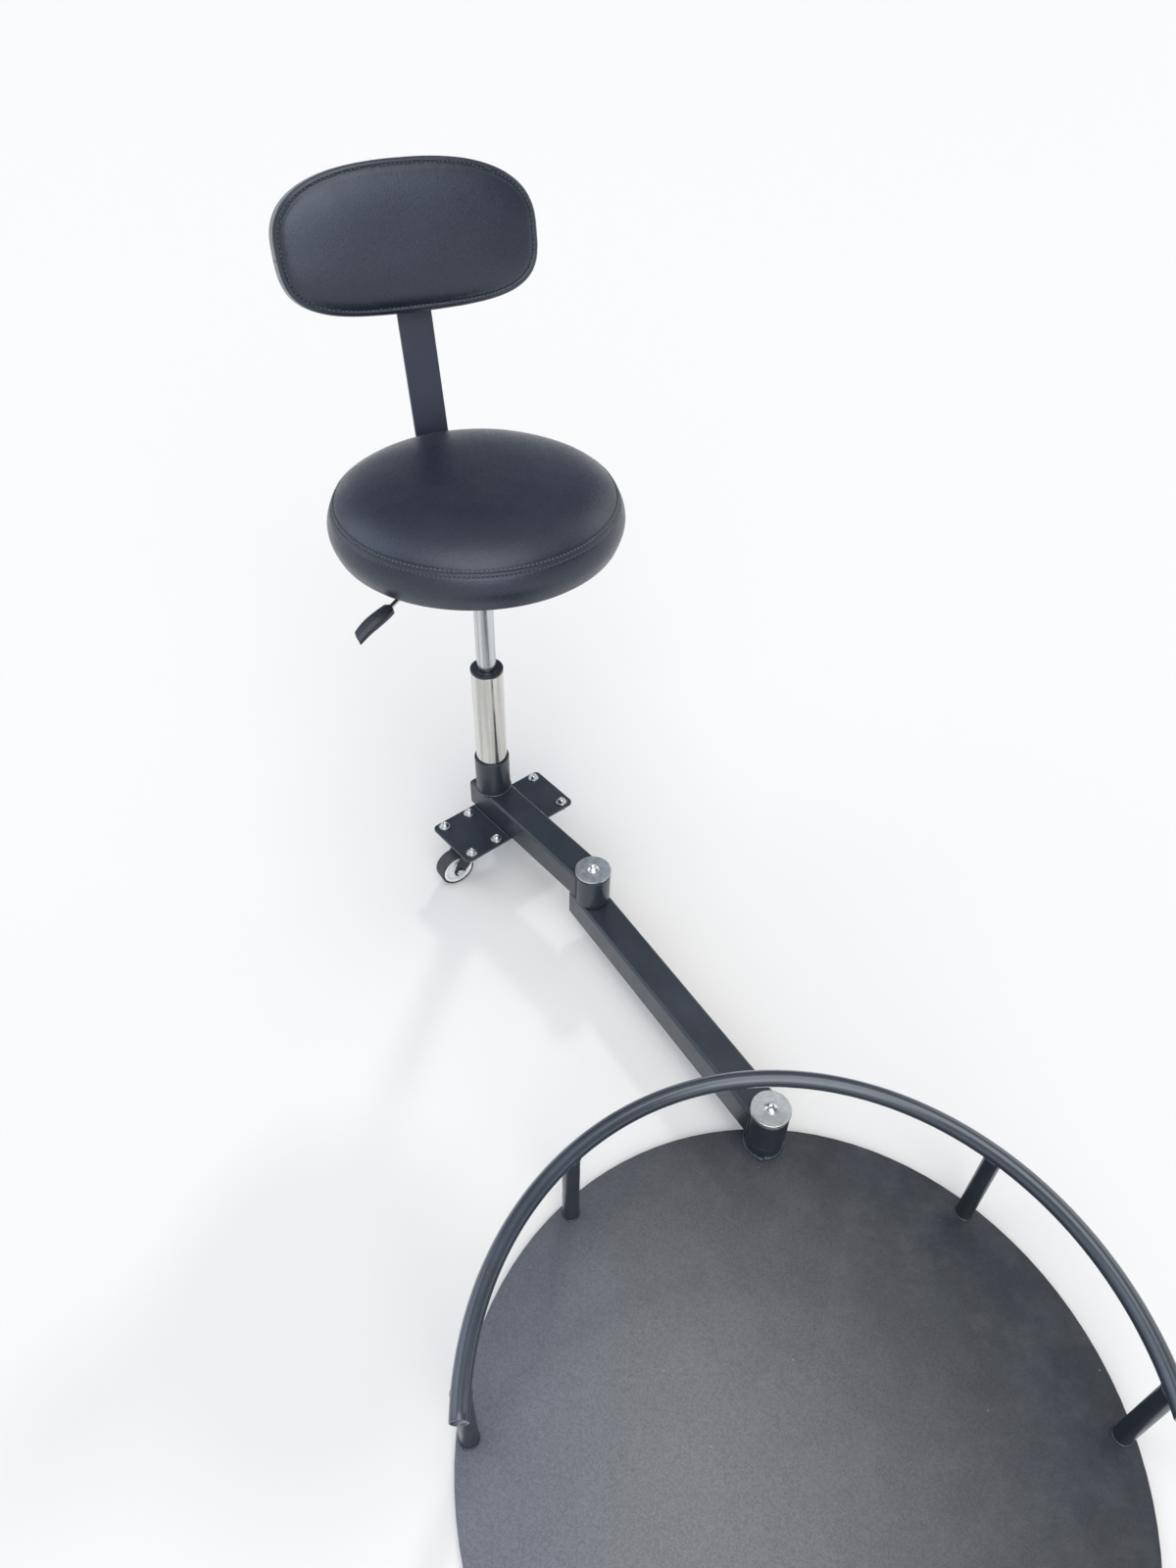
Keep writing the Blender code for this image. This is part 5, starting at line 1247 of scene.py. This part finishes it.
class STOOL_OT_welds(bpy.types.Operator):
    """Lay weld beads where the coated steel pieces meet"""

    bl_idname = "stool.welds"
    bl_label = "Welds"

    def execute(self, context):
        metal = context.scene.stool_metalwork
        size = metal.weld
        plate_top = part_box("base_plate")[1].z
        lump = ring_path(floor_pivot, BOSS_RADIUS + 0.0012, plate_top + 0.0014, 24, 246, 270)
        beads = [bead("boss_foot", ring_path(floor_pivot, BOSS_RADIUS, plate_top + 0.0010), size),
                 bead("boss_lump", lump, size * 2.1, closed=False)]
        for number in range(1, 5):
            low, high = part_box(f"rail_post_{number}")
            centre = (low + high) / 2
            post = (high.x - low.x) / 2
            foot = ring_path(centre, post + 0.0002, plate_top + 0.0005)
            beads.append(bead("post_foot", foot, size * 0.62))
            outward = math.atan2(centre.y, centre.x)
            path = []
            for step in range(97):
                turn = math.tau * step / 96
                drop = metal.rail_tube / 2 * abs(math.sin(turn))
                path.append(Vector((centre.x + post * math.cos(outward + turn),
                                    centre.y + post * math.sin(outward + turn),
                                    metal.rail_height - max(drop, 0.0038))))
            beads.append(bead("post_head", path, size * 0.55))
        self.settle("base_welds", beads, "base")
        lower = arm_frame(floor_pivot, LOWER_ARM_HEADING)
        upper = arm_frame(elbow_pivot, UPPER_ARM_HEADING)
        low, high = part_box("lower_arm_tube")
        half = (high.z - low.z) / 2
        beads = hub_beads("lower", lower, HUB_RADIUS, low.z, high.z, half, size * 0.55)
        self.settle("lower_arm_welds", beads, "lower_arm")
        low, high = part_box("upper_arm_tube")
        beads = hub_beads("upper", upper, HUB_RADIUS, low.z, high.z, half, size * 0.55)
        socket = (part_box("column_socket")[1].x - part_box("column_socket")[0].x) / 2
        beads.append(bead("socket_foot", ring_path(column_place, socket, high.z + 0.0006), size * 0.9))
        lump = ring_path(column_place, socket + 0.0006, high.z + 0.0008, 24, 236, 262)
        beads.append(bead("socket_lump", lump, size * 1.4, closed=False))
        for side in (1, -1):
            path = []
            for step in range(41):
                along = CROSS_PLATE_MIDDLE + CROSS_PLATE_BEAD * (step / 40 - 0.5)
                path.append(upper @ Vector((along, side * (half + 0.0002), low.z - 0.0001)))
            beads.append(bead("plate_edge", path, size * 0.62, closed=False))
        self.settle("upper_arm_welds", beads, "upper_arm")
        return {"FINISHED"}

    def settle(self, name, beads, body):
        whole = joined(name, beads)
        smooth(whole, math.radians(70))
        wear(whole, "weld bead coat", body)


def screw_pattern(radius, height):
    """A pan-head screw with a round socket, its head above Z 0."""
    dome = ((0.94, 0.0), (1.0, 0.18), (0.98, 0.45), (0.86, 0.78), (0.62, 1.0))
    socket = ((0.48, 1.0), (0.48, 0.4))
    levels = [(radius * wide, radius * wide, height * rise) for wide, rise in dome + socket]
    return stacked("screw", circle(18), levels)


class STOOL_OT_fasteners(bpy.types.Operator):
    """Add the screws that hold the seat board, the backrest bar and the pad"""

    bl_idname = "stool.fasteners"
    bl_label = "Fasteners"

    def execute(self, context):
        seat = seat_frame()
        under = Matrix.Rotation(math.pi, 4, "X")
        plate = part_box("seat_bracket")[1].z - BRACKET_WALL
        spots = [(x * BOARD_SCREW_OFFSET, y * BOARD_SCREW_OFFSET, plate - SCREW_SINK)
                 for x in (-1, 1) for y in (-1, 1)]
        bar_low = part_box("back_bar")[0].z
        spots += [(x, 0, bar_low - SCREW_SINK) for x in BAR_SCREW_PLACES]
        places = [seat @ Matrix.Translation(spot) @ under for spot in spots]
        behind = Matrix.Translation((0, 0, -BAR_THICKNESS)) @ under
        places += [pad_frame() @ Matrix.Translation((0, y, 0)) @ behind for y in PAD_SCREW_PLACES]
        screws = copies("seat_screws", screw_pattern(SCREW_RADIUS, SCREW_HEIGHT), places)
        close_form(screws)
        smooth(screws)
        wear(screws, "bright steel", "seat")
        return {"FINISHED"}


# Stage


class STOOL_OT_stage(bpy.types.Operator):
    """Pale floor, soft light and the camera"""

    bl_idname = "stool.stage"
    bl_label = "Stage"

    def execute(self, context):
        stage = context.scene.stool_stage
        context.scene.view_settings.view_transform = "Standard"
        select_only()
        bpy.ops.mesh.primitive_circle_add(vertices=128, radius=FLOOR_RADIUS, fill_type="NGON",
                                          location=(0, 0, -FLOOR_DROP))
        floor = named("floor")
        new_finish("pale floor", tuple(stage.floor), Roughness=0.85, Specular_IOR_Level=0.2)
        floor.data.materials.append(bpy.data.materials["pale floor"])
        self.light_world(context, stage)
        self.hang_lamp(stage.lamp)
        camera_data = bpy.data.cameras.new("camera")
        camera_data.sensor_width = SENSOR
        camera_data.lens = SENSOR * stage.focal_pixels / PHOTO_LONG_SIDE
        camera_data.clip_start = 0.02
        camera_data.clip_end = 200.0
        camera = bpy.data.objects.new("camera", camera_data)
        context.scene.collection.objects.link(camera)
        tilt, roll, heading = stage.camera_turn
        camera.matrix_world = (Matrix.Translation(stage.camera_place) @ Matrix.Rotation(heading, 4, "Z") @
                               Matrix.Rotation(tilt, 4, "X") @ Matrix.Rotation(roll, 4, "Z"))
        context.scene.camera = camera
        return {"FINISHED"}

    def hang_lamp(self, strength):
        """A soft distant lamp on the far side that makes no glints."""
        data = bpy.data.lights.new("far_lamp", "SUN")
        data.energy = strength
        data.angle = LAMP_SPREAD
        data.color = LAMP_COLOUR
        lamp = bpy.data.objects.new("far_lamp", data)
        source = Vector(LAMP_SOURCE)
        lamp.rotation_euler = source.to_track_quat("Z", "Y").to_euler()
        lamp.location = source.normalized() * LAMP_REACH
        lamp.visible_glossy = False
        bpy.context.scene.collection.objects.link(lamp)

    def light_world(self, context, stage):
        """Pale horizon, dimmer above it, with soft bright patches."""
        world = bpy.data.worlds.new("studio")
        context.scene.world = world
        world.use_nodes = True
        sheet = NodeSheet(world.node_tree)
        way = sheet.add("ShaderNodeTexCoord").outputs["Generated"]
        part = sheet.add("ShaderNodeSeparateXYZ", Vector=way).outputs
        sky = sheet.tint(sheet.ramp(part[1], *NEAR_TO_FAR), (*stage.near, 1.0), (*stage.far, 1.0))
        aside = sheet.ramp(sheet.nearness(way, OPEN_SIDE), 0.0, 0.5, 0.0, OPEN_RISE)
        above = sheet.ramp(sheet.math("SUBTRACT", part[2], aside), *HORIZON_FADE)
        sky = sheet.tint(above, (*stage.horizon, 1.0), sky)
        for name, (middle, begin, full) in LIGHT_PATCHES.items():
            share = sheet.ramp(sheet.nearness(way, middle), begin, full)
            sky = sheet.tint(share, sky, (*getattr(stage, name), 1.0))
        sheet.feed(world.node_tree.nodes["Background"].inputs["Color"], sky)


class STOOL_PT_panel(bpy.types.Panel):
    """The stool's pieces and their values"""

    bl_idname = "STOOL_PT_panel"
    bl_label = "Tethered Swivel Stool"
    bl_space_type = "VIEW_3D"
    bl_region_type = "UI"
    bl_category = "Stool"

    def draw(self, context):
        layout = self.layout
        for operator in OPERATORS:
            layout.operator(operator.bl_idname)
        for name, group in GROUPS.items():
            box = layout.box()
            for value in group.__annotations__:
                box.prop(getattr(context.scene, name), value)


GROUPS = {"stool_upholstery": StoolUpholstery, "stool_metalwork": StoolMetalwork, "stool_stage": StoolStage}
OPERATORS = (STOOL_OT_finishes, STOOL_OT_seat_cushion, STOOL_OT_back_pad, STOOL_OT_foot_rail, STOOL_OT_welds,
             STOOL_OT_fasteners, STOOL_OT_stage)


def register():
    for name, group in GROUPS.items():
        bpy.utils.register_class(group)
        setattr(bpy.types.Scene, name, PointerProperty(type=group))
    for each in OPERATORS + (STOOL_PT_panel,):
        bpy.utils.register_class(each)


def unregister():
    for each in reversed(OPERATORS + (STOOL_PT_panel,)):
        bpy.utils.unregister_class(each)
    for name, group in GROUPS.items():
        delattr(bpy.types.Scene, name)
        bpy.utils.unregister_class(group)


def main():
    """Register the add-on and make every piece."""
    register()
    bpy.ops.stool.finishes()
    bpy.ops.stool.seat_cushion()
    bpy.ops.stool.back_pad()
    bpy.ops.stool.foot_rail()
    bpy.ops.stool.welds()
    bpy.ops.stool.fasteners()
    bpy.ops.stool.stage()


if __name__ == "__main__":
    main()
